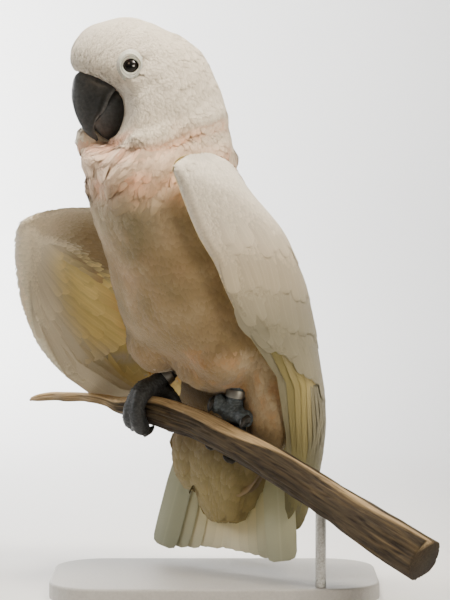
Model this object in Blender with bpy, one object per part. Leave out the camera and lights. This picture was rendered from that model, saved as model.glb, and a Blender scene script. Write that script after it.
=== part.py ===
"""A salmon-crested cockatoo (Cacatua moluccensis), life size, gripping a short length of branch
that a plain display stand holds up. The bird shrugs its half-open wings and looks to its right.

Units are metres, +Z is up. The bird is laid out in its own axes first: F is the way its chest
faces, L is its left, U is up, and their origin is on top of the branch, between the feet. At
the end everything moves together, so that the middle of the whole thing's box is over the
origin and the stand's underside is at Z = 0.
"""

import math

import bmesh
import bpy
from mathutils import Matrix, Vector

MM = 0.001
GAP = 0.35 * MM  # between touching pieces

BODY_TURN = math.radians(40)  # of the chest, away from -Y towards -X

FORWARD = Vector((-math.sin(BODY_TURN), -math.cos(BODY_TURN), 0))
LEFT = Vector((math.cos(BODY_TURN), -math.sin(BODY_TURN), 0))
UP = Vector((0, 0, 1))

HEAD_DEPTH = -35 * MM  # world Y of the head's middle plane
BASE_TOP = -127 * MM  # the stand's plate, under the branch
BASE_THICK = 12 * MM
BASE_SIZE = (250 * MM, 150 * MM)

COLOURS = {
    "plumage": ((0.80, 0.74, 0.66), 0.85, 0.0),
    "flight": ((0.84, 0.79, 0.68), 0.8, 0.0),
    "bill": ((0.045, 0.045, 0.043), 0.45, 0.0),
    "eye": ((0.006, 0.006, 0.006), 0.08, 0.0),
    "foot": ((0.055, 0.055, 0.05), 0.7, 0.0),
    "claw": ((0.03, 0.03, 0.028), 0.4, 0.0),
    "ring": ((0.62, 0.61, 0.56), 0.35, 1.0),
    "wood": ((0.16, 0.11, 0.06), 0.9, 0.0),
    "base": ((0.82, 0.82, 0.80), 0.5, 0.0),
    "steel": ((0.55, 0.55, 0.55), 0.3, 1.0),
}


def bird(f, l, u):
    """A place in the bird's own axes, in millimetres."""
    return (FORWARD * f + LEFT * l + UP * u) * MM


def clear_scene():
    for old in list(bpy.data.objects):
        bpy.data.objects.remove(old)


def material(kind):
    made = bpy.data.materials.get(kind)
    if made is None:
        colour, roughness, metallic = COLOURS[kind]
        made = bpy.data.materials.new(kind)
        made.use_nodes = True
        shader = made.node_tree.nodes["Principled BSDF"]
        shader.inputs["Base Color"].default_value = (*colour, 1)
        shader.inputs["Roughness"].default_value = roughness
        shader.inputs["Metallic"].default_value = metallic
    return made


def named(name, bm, kind, smooth=True):
    """The bmesh as an object of its own, closed and facing out."""
    bmesh.ops.recalc_face_normals(bm, faces=bm.faces)
    if bm.calc_volume(signed=True) < 0:
        bmesh.ops.reverse_faces(bm, faces=bm.faces)
    mesh = bpy.data.meshes.new(name)
    bm.to_mesh(mesh)
    bm.free()
    if smooth:
        mesh.shade_smooth()
        mesh.set_sharp_from_angle(angle=math.radians(50))
    mesh.materials.append(material(kind))
    made = bpy.data.objects.new(name, mesh)
    bpy.context.scene.collection.objects.link(made)
    return made


def smooth_row(rows, count):
    """Rows of numbers read at count even places along a smooth curve through them all."""
    last = len(rows) - 1
    read = []
    for step in range(count):
        at = step * last / (count - 1)
        i = min(int(at), last - 1)
        t = at - i
        a = rows[max(i - 1, 0)]
        b, c = rows[i], rows[i + 1]
        d = rows[min(i + 2, last)]
        read.append(
            [
                0.5
                * (
                    2 * q
                    + (r - p) * t
                    + (2 * p - 5 * q + 4 * r - s) * t * t
                    + (3 * q - p - 3 * r + s) * t * t * t
                )
                for p, q, r, s in zip(a, b, c, d)
            ]
        )
    return read


def loft(bm, rings, slat=False):
    """One closed skin over rings of points that all have the same number of points.

    A slat's ring runs along one skin and back along the other, and its ends are closed
    straight across from skin to skin."""
    made = [[bm.verts.new(point) for point in ring] for ring in rings]
    count = len(rings[0])
    for low, high in zip(made, made[1:]):
        for i in range(count):
            j = (i + 1) % count
            bm.faces.new((low[i], low[j], high[j], high[i]))
    for end in (made[0], made[-1]):
        if slat:
            for i in range(count // 2 - 1):
                bm.faces.new((end[i], end[i + 1], end[count - 2 - i], end[count - 1 - i]))
        else:
            bmesh.ops.triangulate(bm, faces=[bm.faces.new(end)])
    bmesh.ops.recalc_face_normals(bm, faces=bm.faces)
    return bm


def carve(target, cutter):
    """Cut one object out of another with a cutter that the build leaves out."""
    cutter.hide_render = True
    cutter.display_type = "WIRE"
    cut = target.modifiers.new("cut " + cutter.name, "BOOLEAN")
    cut.operation = "DIFFERENCE"
    cut.solver = "EXACT"
    cut.object = cutter


# ---------------------------------------------------------------- head, neck, trunk, rump
# Level slices through the plumage, top to bottom, in millimetres: height, the front and the
# back along the slice's own facing, half the width, the middle's place (X, Y) and the facing
# in degrees. The face looks along -X and the chest along F, so the slices turn in the neck.
SLICES = [
    (297.5, 5, 5, 5, -54, -35, 90),
    (294.5, 18, 17, 14, -55, -35, 90),
    (290.0, 30, 27, 21, -55, -35, 90),
    (283.0, 42, 38, 27, -50, -35, 90),
    (274.0, 51, 46, 32, -46, -35, 90),
    (264.0, 54.5, 50, 35, -43, -35, 90),
    (256.0, 51, 53, 36.5, -42, -35, 90),
    (249.0, 31, 55, 37.5, -41, -35, 90),
    (240.0, 20, 57, 38.5, -40, -35, 90),
    (228.0, 18, 60, 40, -39, -35, 90),
    (215.0, 22, 60, 42, -38, -35, 90),
    (206.0, 30, 60, 43, -36, -35, 88),
    (199.0, 51, 62, 44, -33, -35, 82),
    (191.0, 60, 61, 48, -31, -34, 74),
    (181.0, 54, 56, 51, -29, -34, 64),
    (172.0, 57, 55, 53, -28, -34, 54),
    (161.0, 53, 54, 53, -28, -33, 46),
    (147.0, 54, 55, 55, -26, -31, 40),
    (120.0, 55, 56, 56, -17, -21, 40),
    (86.0, 56, 57, 58, -8, -10, 40),
    (60.0, 52, 55, 58, -1, -1, 40),
    (46.0, 43, 51, 56, 6.3, 3, 40),
    (37.0, 31, 47, 53, 12, 8, 40),
    (30.0, 17, 42, 50, 17, 12, 40),
]
RING_POINTS = 24
HEAD_FOOT = 205.0  # heights of the two thin cuts, head from neck and neck from trunk
NECK_FOOT = 168.0
TRUNK_FOOT = 30.0


def slice_ring(height, front, back, half, x, y, facing, grow=0.0):
    """One level slice: round behind, drawn to a rounder or longer front."""
    turn = math.radians(facing)
    ahead = Vector((-math.sin(turn), -math.cos(turn), 0))
    side = Vector((math.cos(turn), -math.sin(turn), 0))
    ring = []
    for i in range(RING_POINTS):
        a = 2 * math.pi * i / RING_POINTS
        reach = (front if math.cos(a) > 0 else back) + grow
        ring.append(
            Vector((x, y, height)) * MM
            + ahead * (reach * math.cos(a) * MM)
            + side * ((half + grow) * math.sin(a) * MM)
        )
    return ring


def body_part(top, foot, steps, grow=0.0):
    """The stretch of the body between two heights, grown outwards for use as a cutter."""
    fine = smooth_row(SLICES, 200)

    def at(height):
        for high, low in zip(fine, fine[1:]):
            if high[0] >= height >= low[0]:
                t = (high[0] - height) / max(high[0] - low[0], 1e-9)
                return [a + (b - a) * t for a, b in zip(high, low)]
        return fine[0] if height > fine[0][0] else fine[-1]

    # the steps crowd towards the crown, where the outline turns fastest
    rows = []
    for i in range(steps):
        t = i / (steps - 1)
        if top > SLICES[1][0]:
            t = t ** 1.6
        rows.append(at(top - (top - foot) * t))
    rings = [slice_ring(*row, grow) for row in rows]
    return loft(bmesh.new(), stretched(rings, grow))


def stretched(rings, grow):
    """A stack of rings whose top and bottom rings stand out by the growth too."""
    rings[0] = [point + UP * (grow * MM) for point in rings[0]]
    rings[-1] = [point - UP * (grow * MM) for point in rings[-1]]
    return rings


# The rump and the tail coverts go on down from the trunk behind the branch, in the bird's axes:
# height, middle F, middle L, half-depth, half-width.
RUMP = [
    (29.6, -32, 6, 29, 50),
    (16.0, -41, 5, 24, 59),
    (4.0, -47, 4, 22, 64),
    (-10.0, -46, 2, 18, 61),
    (-28.0, -40, 0, 14, 50),
    (-48.0, -33, 0, 11, 37),
    (-68.0, -29, 0, 9, 27),
    (-84.0, -26.5, 0, 6.5, 17),
    (-93.0, -25.5, 0, 3.5, 8),
]


def rump(grow=0.0):
    rings = []
    for height, f, l, deep, half in smooth_row(RUMP, 12):
        rings.append(
            [
                bird(
                    f + (deep + grow) * math.cos(2 * math.pi * i / RING_POINTS),
                    l + (half + grow) * math.sin(2 * math.pi * i / RING_POINTS),
                    height,
                )
                for i in range(RING_POINTS)
            ]
        )
    return loft(bmesh.new(), stretched(rings, grow))


# ---------------------------------------------------------------- eyes
EYE_RADIUS = 7.6
EYE_AT = (-50.4, 260.0)  # X and height
EYE_OUT = 28.6  # from the head's middle plane to the eyeball's middle


def ball(centre, radius, rings=12):
    bm = bmesh.new()
    bmesh.ops.create_uvsphere(bm, u_segments=2 * rings, v_segments=rings, radius=radius)
    bmesh.ops.translate(bm, verts=bm.verts, vec=centre)
    return bm


def eye_centre(side):
    return Vector((EYE_AT[0] * MM, HEAD_DEPTH + side * EYE_OUT * MM, EYE_AT[1] * MM))


# ---------------------------------------------------------------- bill
# Lines across the bill in the head's middle plane: (X, height) at the outer and the inner
# edge, and half the width there.
UPPER_BILL = [
    (-88.0, 258.5, -58.0, 249.0, 11.0),
    (-93.7, 254.0, -62.0, 243.5, 13.2),
    (-96.0, 246.0, -65.0, 237.0, 13.4),
    (-96.4, 237.5, -68.0, 231.5, 12.8),
    (-94.5, 228.0, -71.0, 226.5, 11.2),
    (-91.0, 219.5, -75.0, 221.0, 8.6),
    (-86.5, 212.0, -77.0, 214.5, 5.6),
    (-81.0, 206.8, -76.6, 209.5, 2.9),
    (-77.2, 204.9, -76.2, 205.8, 0.9),
]
LOWER_BILL = [
    (-56.0, 238.0, -57.0, 205.5, 12.5),
    (-61.5, 238.0, -62.0, 204.5, 13.0),
    (-67.0, 232.0, -68.5, 205.5, 12.2),
    (-72.5, 224.0, -74.5, 208.5, 10.6),
    (-76.5, 219.0, -78.5, 212.5, 8.6),
    (-79.5, 216.5, -80.0, 215.0, 6.4),
]
BILL_POINTS = 16


def bill(lines, steps, fullness, grow=0.0):
    """A horn sheath over lines that cross it; fullness squares its section."""
    rings = []
    for xa, ua, xb, ub, half in smooth_row(lines, steps):
        outer = Vector((xa, 0, ua))
        inner = Vector((xb, 0, ub))
        mid = (outer + inner) / 2
        arm = (outer - inner) / 2
        arm *= (arm.length + grow) / arm.length
        ring = []
        for i in range(BILL_POINTS):
            a = 2 * math.pi * i / BILL_POINTS
            c, s = math.cos(a), math.sin(a)
            c = math.copysign(abs(c) ** fullness, c)
            s = math.copysign(abs(s) ** fullness, s)
            point = mid + arm * c + Vector((0, (half + grow) * s, 0))
            ring.append(point * MM + Vector((0, HEAD_DEPTH, 0)))
        rings.append(ring)
    return loft(bmesh.new(), rings)


# The tuft of the chin, beyond the bill on its far side: (X, Y from the middle plane, height)
# and radius.
CHIN = [
    ((-56, 8, 200), 13),
    ((-70, 13, 202), 11.5),
    ((-82, 14, 205), 8.5),
    ((-91, 14, 207), 4.5),
    ((-96, 14, 207), 1.2),
]


def chin():
    rings = []
    for x, y, u, radius in smooth_row([[*p, r] for p, r in CHIN], 7):
        rings.append(
            [
                Vector((x * MM, HEAD_DEPTH + (y + 0.6 * radius * math.cos(a)) * MM,
                        (u + radius * math.sin(a)) * MM))
                for a in (2 * math.pi * i / 10 for i in range(10))
            ]
        )
    return loft(bmesh.new(), rings)


# ---------------------------------------------------------------- wings
# Stations from the top edge of the raised arm down to the feather tips, in the bird's axes:
# the front edge (F, L, U), the outer bulge and the rear edge, then the thickness.
WING_LEFT = [
    ((86, 62, 194), (64, 62, 196), (36, 50, 192), 6),
    ((97, 64, 186), (54, 67, 188), (20, 46, 182), 10),
    ((93, 67, 172), (42, 76, 168), (6, 38, 165), 13),
    ((76, 70, 138), (12, 82, 140), (-10, 34, 142), 13),
    ((61, 73, 115), (-4, 84, 117), (-32, 34, 119), 11),
    ((51, 75, 93), (-16, 84, 96), (-48, 42, 95), 9),
    ((34, 76, 70), (-24, 83, 73), (-60, 52, 71), 7),
    ((14, 77, 54), (-30, 83, 52), (-64, 60, 48), 5.5),
]
QUILLS_LEFT = [
    ((13, 77, 53), (-31, 83, 51), (-64, 60, 47), 4.5),
    ((-9, 77, 29), (-38, 84, 25), (-66, 66, 22), 4),
    ((-22, 76, -5), (-44, 84, -8), (-64, 72, -10), 3.5),
    ((-27, 71, -46), (-44, 78, -45), (-58, 73, -42), 3),
    ((-31, 67, -76), (-41, 71, -74), (-51, 69, -70), 2.4),
    ((-36, 63, -94), (-39, 65, -93), (-43, 65, -89), 1.6),
]
WING_RIGHT = [
    ((80, -86, 152), (56, -74, 154), (32, -52, 153), 6),
    ((92, -95, 144), (50, -80, 149), (18, -44, 149), 10),
    ((88, -102.5, 128), (38, -94, 131), (0, -38, 134), 13),
    ((78, -111.5, 102), (14, -110, 102), (-26, -38, 106), 12),
    ((62, -120.5, 72), (-8, -115, 68), (-50, -54, 70), 10),
    ((38, -127.5, 42), (-28, -110, 38), (-70, -64, 38), 8),
    ((14, -123, 18), (-42, -103, 16), (-82, -68, 15), 6),
]
QUILLS_RIGHT = [
    ((13, -122.5, 17), (-43, -102.5, 15), (-82, -68, 14), 4.5),
    ((-14, -109, -1), (-56, -92, -1), (-88, -68, -2), 4),
    ((-44, -91, -10), (-74, -80, -10), (-96, -65, -9), 3.2),
    ((-78, -73, -14), (-92, -70, -14), (-104, -63, -13), 2.6),
    ((-106, -64, -16), (-112, -62, -16), (-117, -61, -15), 1.8),
]
SLAT_STEPS = 8
ARM_REAR = 0.6  # share of the front edge's thickness that is left at the rear edge
QUILLS_REAR = 0.3


def wing_sheet(stations, steps, side, rear, feathers=0):
    """A curved shell between two skins; side is +1 left, -1 right.

    With feathers set, the lower end steps in and out as that many feather tips."""
    rows = [
        [*front, *bulge, *rear, thick] for front, bulge, rear, thick in stations
    ]
    outer, inner = [], []
    fine = smooth_row(rows, steps)
    for row in fine:
        a = Vector(row[0:3])
        b = Vector(row[3:6])
        c = Vector(row[6:9])
        half = row[9] / 2
        # a parabola through the front edge, the bulge and the rear edge
        top, low = [], []
        for k in range(SLAT_STEPS + 1):
            t = k / SLAT_STEPS
            point = a * ((1 - t) * (1 - 2 * t)) + b * (4 * t * (1 - t)) + c * (t * (2 * t - 1))
            slope = a * (4 * t - 3) + b * (4 - 8 * t) + c * (4 * t - 1)
            across = Vector((slope.y, -slope.x, 0)).normalized() * side
            # full at the front edge, thin along the rear
            body = rear + (1 - rear) * (1 - t) ** 1.3
            top.append(point + across * half * body)
            low.append(point - across * half * body)
        outer.append(top)
        inner.append(low)
    if feathers:
        for k in range(SLAT_STEPS + 1):
            t = k / SLAT_STEPS
            step = 4.0 * abs(math.sin(math.pi * feathers * t))
            for skin in (outer, inner):
                skin[-1][k] = skin[-1][k] - Vector((0, 0, step))
    rings = []
    for top, low in zip(outer, inner):
        rings.append([bird(*p) for p in top] + [bird(*p) for p in reversed(low)])
    return loft(bmesh.new(), rings, slat=True)


# ---------------------------------------------------------------- tail
TAIL_ROOT = (-45.0, 12.0)  # F and height where the feathers' shafts meet
TAIL_TIP = (-23.0, -119.0)
TAIL_FEATHERS = 12
TAIL_SPREAD = math.radians(25)
TAIL_THICK = 2.0
TAIL_ROOT_HALF = 42.0


def tail():
    """The fan, feather beside feather, each end rounded, on a surface that bows backwards."""
    down = Vector((TAIL_TIP[0] - TAIL_ROOT[0], TAIL_TIP[1] - TAIL_ROOT[1]))
    length = down.length
    down /= length
    back = Vector((down.y, -down.x))
    columns = TAIL_FEATHERS * 3
    rows = 5
    sheets = ([], [])
    for r in range(rows):
        along = 0.12 + 0.88 * r / (rows - 1)
        lines = ([], [])
        for k in range(columns + 1):
            t = k / columns
            angle = TAIL_SPREAD * (t - 0.5)
            within = (t * TAIL_FEATHERS) % 1.0
            reach = length * (1.0 - 0.035 * (2 * t - 1) ** 2)
            if r == rows - 1:
                reach += 5.0 * math.sin(math.pi * within) - 3.0
            away = TAIL_ROOT_HALF * (2 * t - 1) + reach * along * math.sin(angle)
            fall = reach * along * (0.55 + 0.45 * math.cos(angle))
            bow = 6.0 * (1 - (2 * t - 1) ** 2) * along + 1.2 * math.sin(math.pi * within)
            for skin, half in ((0, TAIL_THICK / 2), (1, -TAIL_THICK / 2)):
                f = TAIL_ROOT[0] + down.x * fall + back.x * (bow + half)
                u = TAIL_ROOT[1] + down.y * fall + back.y * (bow + half)
                lines[skin].append(bird(f, away, u))
        sheets[0].append(lines[0])
        sheets[1].append(lines[1])
    rings = [front + list(reversed(rear)) for front, rear in zip(*sheets)]
    return loft(bmesh.new(), rings, slat=True)


# ---------------------------------------------------------------- branch
# Along the branch: place on L, height of its middle, radius.
BRANCH = [
    (-183, -4.6, 1.6),
    (-165, -1.5, 3.0),
    (-147, 0.0, 3.9),
    (-128, 1.0, 3.6),
    (-109, 0.8, 4.0),
    (-92, -2.0, 5.2),
    (-79, -3.4, 7.2),
    (-62, -3.6, 10.2),
    (-38, -5.2, 12.0),
    (-16, -9.4, 12.1),
    (3, -13.6, 12.2),
    (38, -25.4, 12.8),
    (75, -38.5, 13.6),
    (126, -59.6, 14.5),
    (172, -79.6, 16.6),
    (212, -96.2, 17.0),
]
BRANCH_SIDES = 12
BRANCH_STEPS = 21


def branch_at(l):
    """Middle height and radius of the branch at a place on L."""
    for a, b in zip(BRANCH, BRANCH[1:]):
        if a[0] <= l <= b[0]:
            t = (l - a[0]) / (b[0] - a[0])
            return a[1] + (b[1] - a[1]) * t, a[2] + (b[2] - a[2]) * t
    return BRANCH[-1][1:]


def branch(grow=0.0):
    """A split, weathered limb: not quite round, with a few long ridges that wander."""
    rows = smooth_row(BRANCH, BRANCH_STEPS)
    rings = []
    for n, (l, u, radius) in enumerate(rows):
        before = rows[max(n - 1, 0)]
        after = rows[min(n + 1, len(rows) - 1)]
        run = Vector((0, after[0] - before[0], after[1] - before[1])).normalized()
        lift = Vector((0, -run.z, run.y))
        ring = []
        for i in range(BRANCH_SIDES):
            a = 2 * math.pi * i / BRANCH_SIDES
            rough = 1 + 0.045 * math.sin(3 * a + 0.02 * l) + 0.03 * math.sin(5 * a - 0.05 * l)
            out = Vector((1, 0, 0)) * math.cos(a) + lift * math.sin(a)
            point = Vector((0, l, u)) + out * (radius * rough + grow)
            ring.append(bird(*point))
        rings.append(ring)
    return loft(bmesh.new(), rings)


# ---------------------------------------------------------------- legs and feet
def tube(bm, points, sides=10, ends=True):
    """A closed round limb through (place, radius) pairs, in the bird's axes."""
    rings = []
    places = [Vector(p) for p, _ in points]
    for n, (place, radius) in enumerate(points):
        run = (places[min(n + 1, len(places) - 1)] - places[max(n - 1, 0)]).normalized()
        side = run.cross(Vector((0, 1, 0)))
        if side.length < 0.2:
            side = run.cross(Vector((1, 0, 0)))
        side.normalize()
        lift = run.cross(side)
        rings.append(
            [
                bird(*(Vector(place) + (side * math.cos(a) + lift * math.sin(a)) * radius))
                for a in (2 * math.pi * i / sides for i in range(sides))
            ]
        )
    return loft(bm, rings)


def on_branch(l, degrees, clear):
    """A place round the branch: degrees from its top, forwards positive, and a height over it."""
    u, radius = branch_at(l)
    a = math.radians(degrees)
    reach = radius + clear
    return Vector((math.sin(a) * reach, l, u + math.cos(a) * reach))


# Each foot: the ankle's place; the pad where the toes meet, as (L, degrees round the branch);
# and per toe the end as (L, degrees), the thickness, and how far round the branch, in degrees,
# its claw reaches beyond the toe's end.
FEET = {
    "right": {
        "ankle": (-11, -38, 27.0),
        "pad": (-48, 8),
        "toes": [
            (-57.5, 128, 6.2, 44),
            (-48.5, 142, 6.2, 44),
            (-61.0, -112, 4.8, -44),
            (-37.0, -128, 4.8, -44),
        ],
    },
    "left": {
        "ankle": (-13, 27.0, 17.5),
        "pad": (24, -34),
        "toes": [
            (9.5, -20, 7.6, 24),
            (42.0, -18, 6.2, 26),
            (6.0, -140, 4.6, -44),
            (26.0, -150, 4.6, -44),
        ],
    },
}
TARSUS_RADIUS = 5.2


def toe_points(foot, toe, steps=7):
    """The toe's middle line from the pad to its end, over the branch."""
    l0, d0 = foot["pad"]
    l1, d1, radius, _ = toe
    points = []
    for i in range(steps):
        t = i / (steps - 1)
        swell = radius * (1.0 + 0.10 * math.sin(math.pi * 3 * t) - 0.16 * t)
        l = l0 + (l1 - l0) * t ** 0.8
        degrees = d0 + (d1 - d0) * t
        points.append((on_branch(l, degrees, radius + 1.6), swell))
    return points


def foot_mesh(foot):
    """Tarsus, pad and four toes as separate closed bodies, joined afterwards."""
    bodies = []
    ankle = Vector(foot["ankle"])
    pad = on_branch(*foot["pad"], 7.2)
    mid = (ankle + pad) / 2
    up = ankle + (ankle - pad).normalized() * 4.0
    bodies.append([(up, 5.4), (ankle, 5.8), (mid, TARSUS_RADIUS), (pad, 6.6)])
    bodies.append([(pad + Vector((0, -7, 0)), 3.0), (pad + Vector((0, -5, 0)), 5.6),
                   (pad, 6.8), (pad + Vector((0, 5, 0)), 5.6), (pad + Vector((0, 7, 0)), 3.0)])
    for toe in foot["toes"]:
        points = toe_points(foot, toe)
        tip = points[-1]
        bodies.append(points + [(tip[0] + (tip[0] - points[-2][0]) * 0.25, tip[1] * 0.55)])
    return bodies


def claw_points(foot, toe):
    """A claw from the toe's end, curving on round the branch and down to its point."""
    line = toe_points(foot, toe)
    start = line[-1][0] + (line[-1][0] - line[-2][0]) * 0.35
    l1, d1, radius, turn = toe
    points = []
    for i in range(6):
        t = i / 5
        place = on_branch(l1, d1 + turn * (0.14 + 0.86 * t), (radius + 1.6) * (1 - t) + 1.2)
        thick = radius * 0.62 * (1 - t) ** 0.8 + 0.35
        points.append((start.lerp(place, min(1.0, t * 2.5)), thick))
    return points


def joined(name, bodies, kind, voxel, keep):
    """Several closed tubes made one skin, thinned to a share of its faces."""
    bm = bmesh.new()
    for points in bodies:
        tube(bm, points)
    made = named(name, bm, kind)
    merge = made.modifiers.new("one skin", "REMESH")
    merge.mode = "VOXEL"
    merge.voxel_size = voxel
    soften = made.modifiers.new("soften", "SMOOTH")
    soften.iterations = 2
    soften.factor = 0.5
    thin = made.modifiers.new("thin", "DECIMATE")
    thin.ratio = keep
    return made


# The thighs: from inside the belly down to the ankle, (F, L, U) and radius.
THIGHS = {
    "right": [((17, -33, 68), 16), ((14, -38, 50), 23), ((5, -38, 37), 17), ((-8, -38, 30), 8.5)],
    "left": [((19, 30, 64), 16), ((16, 30, 46), 23), ((5, 28.5, 33), 17), ((-9, 27, 22.5), 8.5)],
}

# The rings on the legs: share of the way from the ankle to the pad, and the half-width.
RING_AT = {"right": 0.30, "left": 0.28}
LEG_ROOM = 3.2  # between the leg and the plumage round it, so that the ring fits
RING_HALF = 3.0
RING_RADII = (7.0, 8.2)


def leg_ring(name):
    """A plain metal band, loose round the leg."""
    ankle = Vector(FEET[name]["ankle"])
    run = on_branch(*FEET[name]["pad"], 7.2) - ankle
    centre = ankle + run * RING_AT[name]
    run.normalize()
    side = run.cross(Vector((0, 1, 0))).normalized()
    bm = bmesh.new()
    profile = []
    for radius, along in (
        (RING_RADII[0], -RING_HALF),
        (RING_RADII[1], -RING_HALF),
        (RING_RADII[1], RING_HALF),
        (RING_RADII[0], RING_HALF),
    ):
        profile.append(bm.verts.new(centre + side * radius + run * along))
    edges = [bm.edges.new((profile[i], profile[(i + 1) % 4])) for i in range(4)]
    bmesh.ops.spin(bm, geom=profile + edges, cent=centre, axis=run, angle=2 * math.pi,
                   steps=20, use_merge=True)
    for vert in bm.verts:
        vert.co = bird(*vert.co)
    return named("leg_ring_" + name, bm, "ring")


# ---------------------------------------------------------------- stand
ROD_RADIUS = 4.0
ROD_AT = 118.0  # on L, under the thick end of the branch


def plate(name, size, top, thick, corner, edge, kind):
    bm = bmesh.new()
    bmesh.ops.create_cube(bm, size=1)
    bmesh.ops.scale(bm, verts=bm.verts, vec=(size[0], size[1], thick))
    bmesh.ops.translate(bm, verts=bm.verts, vec=(0, 0, top - thick / 2))
    uprights = [e for e in bm.edges if abs(e.verts[0].co.z - e.verts[1].co.z) > thick / 2]
    bmesh.ops.bevel(bm, geom=uprights, offset=corner, segments=7, affect="EDGES",
                    profile=0.5, material=-1)
    rim = [
        e for e in bm.edges
        if all(v.co.z > top - 1e-6 for v in e.verts) and len(e.link_faces) == 2
    ]
    bmesh.ops.bevel(bm, geom=rim, offset=edge, segments=3, affect="EDGES",
                    profile=0.5, material=-1)
    return named(name, bm, kind)


def main():
    clear_scene()
    for kind in COLOURS:
        material(kind)

    grow = GAP / MM
    stretches = {
        "head": (297.4, HEAD_FOOT, 18),
        "neck": (HEAD_FOOT - grow, NECK_FOOT, 8),
        "trunk": (NECK_FOOT - grow, TRUNK_FOOT, 14),
    }
    body = {name: named(name, body_part(*span), "plumage") for name, span in stretches.items()}
    head, neck = body["head"], body["neck"]
    coverts = named("rump", rump(), "plumage")

    # cutters: the same shapes, grown by the gap that touching pieces keep
    body_cutters = [
        named(name + " cutter", body_part(*span, 2 * grow), "plumage")
        for name, span in stretches.items()
    ]
    rump_cutter = named("rump cutter", rump(2 * grow), "plumage")
    upper_cutter = named("upper bill cutter", bill(UPPER_BILL, 13, 0.86, grow), "bill")
    lower_cutter = named("lower bill cutter", bill(LOWER_BILL, 8, 0.86, grow), "bill")

    named("bill_upper", bill(UPPER_BILL, 13, 0.86), "bill")
    lower = named("bill_lower", bill(LOWER_BILL, 9, 0.86), "bill")
    carve(lower, upper_cutter)
    carve(head, upper_cutter)
    carve(head, lower_cutter)
    carve(neck, upper_cutter)
    carve(neck, lower_cutter)

    tuft = named("chin", chin(), "plumage")
    for cutter in body_cutters:
        carve(tuft, cutter)
    carve(tuft, upper_cutter)
    carve(tuft, lower_cutter)

    for side, name in ((-1, "left"), (1, "right")):
        named("eye_" + name, ball(eye_centre(side), EYE_RADIUS * MM, 6), "eye")
        socket = ball(eye_centre(side), (EYE_RADIUS + 2.5 * grow) * MM, 6)
        carve(head, named("socket cutter " + name, socket, "eye"))

    for name, side, arm, quills in (
        ("left", 1, WING_LEFT, QUILLS_LEFT),
        ("right", -1, WING_RIGHT, QUILLS_RIGHT),
    ):
        wing = named("wing_" + name, wing_sheet(arm, 11, side, ARM_REAR), "plumage")
        for cutter in body_cutters[1:]:
            carve(wing, cutter)
        flight = named("wing_" + name + "_primaries",
                       wing_sheet(quills, 9, side, QUILLS_REAR, feathers=3), "flight")
        carve(flight, body_cutters[2])
        carve(flight, rump_cutter)

    fan = named("tail", tail(), "flight")
    carve(fan, rump_cutter)

    named("perch", branch(), "wood", smooth=True)
    perch_cutter = named("perch cutter", branch(grow), "wood")
    carve(coverts, perch_cutter)

    for name, foot in FEET.items():
        leg = joined("foot_" + name, foot_mesh(foot), "foot", 1.5 * MM, 0.075)
        carve(leg, perch_cutter)
        for n, toe in enumerate(foot["toes"]):
            bm = tube(bmesh.new(), claw_points(foot, toe), sides=6)
            claw = named("claw_%s_%d" % (name, n + 1), bm, "claw")
            carve(claw, perch_cutter)
            bigger = [(p, r + 2 * grow) for p, r in claw_points(foot, toe)]
            first = bigger[0]
            bigger[0] = (first[0] - (bigger[1][0] - first[0]).normalized() * 2 * grow, first[1])
            carve(leg, named("claw cutter %s %d" % (name, n + 1),
                             tube(bmesh.new(), bigger, sides=6), "claw"))
        leg_ring(name)
        thigh = joined("thigh_" + name, [THIGHS[name]], "plumage", 3.0 * MM, 0.2)
        carve(thigh, body_cutters[2])
        carve(thigh, rump_cutter)
        carve(thigh, perch_cutter)
        tarsus = [(p, r + LEG_ROOM) for p, r in foot_mesh(foot)[0]]
        tarsus[0] = (tarsus[0][0] + (tarsus[0][0] - tarsus[1][0]).normalized(), tarsus[0][1])
        leg_cutter = named("leg cutter " + name, tube(bmesh.new(), tarsus, sides=14), "foot")
        for flesh in (thigh, coverts, body["trunk"]):
            carve(flesh, leg_cutter)

    middle = (BRANCH[0][0] + BRANCH[-1][0]) / 2
    centre = bird(0, middle, 0)
    base = plate("stand_base", BASE_SIZE, BASE_TOP, BASE_THICK, 40 * MM, 2 * MM, "base")
    base.data.transform(Matrix.Translation((centre.x, centre.y, 0)))

    u, radius = branch_at(ROD_AT)
    low = BASE_TOP / MM + GAP / MM
    place = bird(0, ROD_AT, 0)
    bm = bmesh.new()
    height = (u - low) * MM
    bmesh.ops.create_cone(bm, cap_ends=True, segments=24, radius1=ROD_RADIUS * MM,
                          radius2=ROD_RADIUS * MM, depth=height)
    bmesh.ops.translate(bm, verts=bm.verts,
                        vec=(place.x, place.y, low * MM + height / 2))
    rod = named("stand_rod", bm, "steel")
    carve(rod, perch_cutter)

    settle()


def settle():
    """Move it all so that its box stands centred on the origin with its underside at Z = 0."""
    bpy.context.view_layer.update()
    graph = bpy.context.evaluated_depsgraph_get()
    corners = []
    for item in bpy.data.objects:
        if item.type == "MESH" and not item.hide_render:
            shown = item.evaluated_get(graph)
            mesh = shown.to_mesh()
            corners += [item.matrix_world @ v.co for v in mesh.vertices]
            shown.to_mesh_clear()
    low = [min(c[i] for c in corners) for i in range(3)]
    high = [max(c[i] for c in corners) for i in range(3)]
    shift = Vector((-(low[0] + high[0]) / 2, -(low[1] + high[1]) / 2, -low[2]))
    for item in bpy.data.objects:
        if item.type == "MESH":
            item.data.transform(Matrix.Translation(shift))
    print("moved by", [round(v / MM, 3) for v in shift])


main()
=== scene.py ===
import math

import bmesh
import bpy
import numpy as np
from mathutils import Matrix, Vector, noise
from mathutils.bvhtree import BVHTree
from mathutils.kdtree import KDTree


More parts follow.
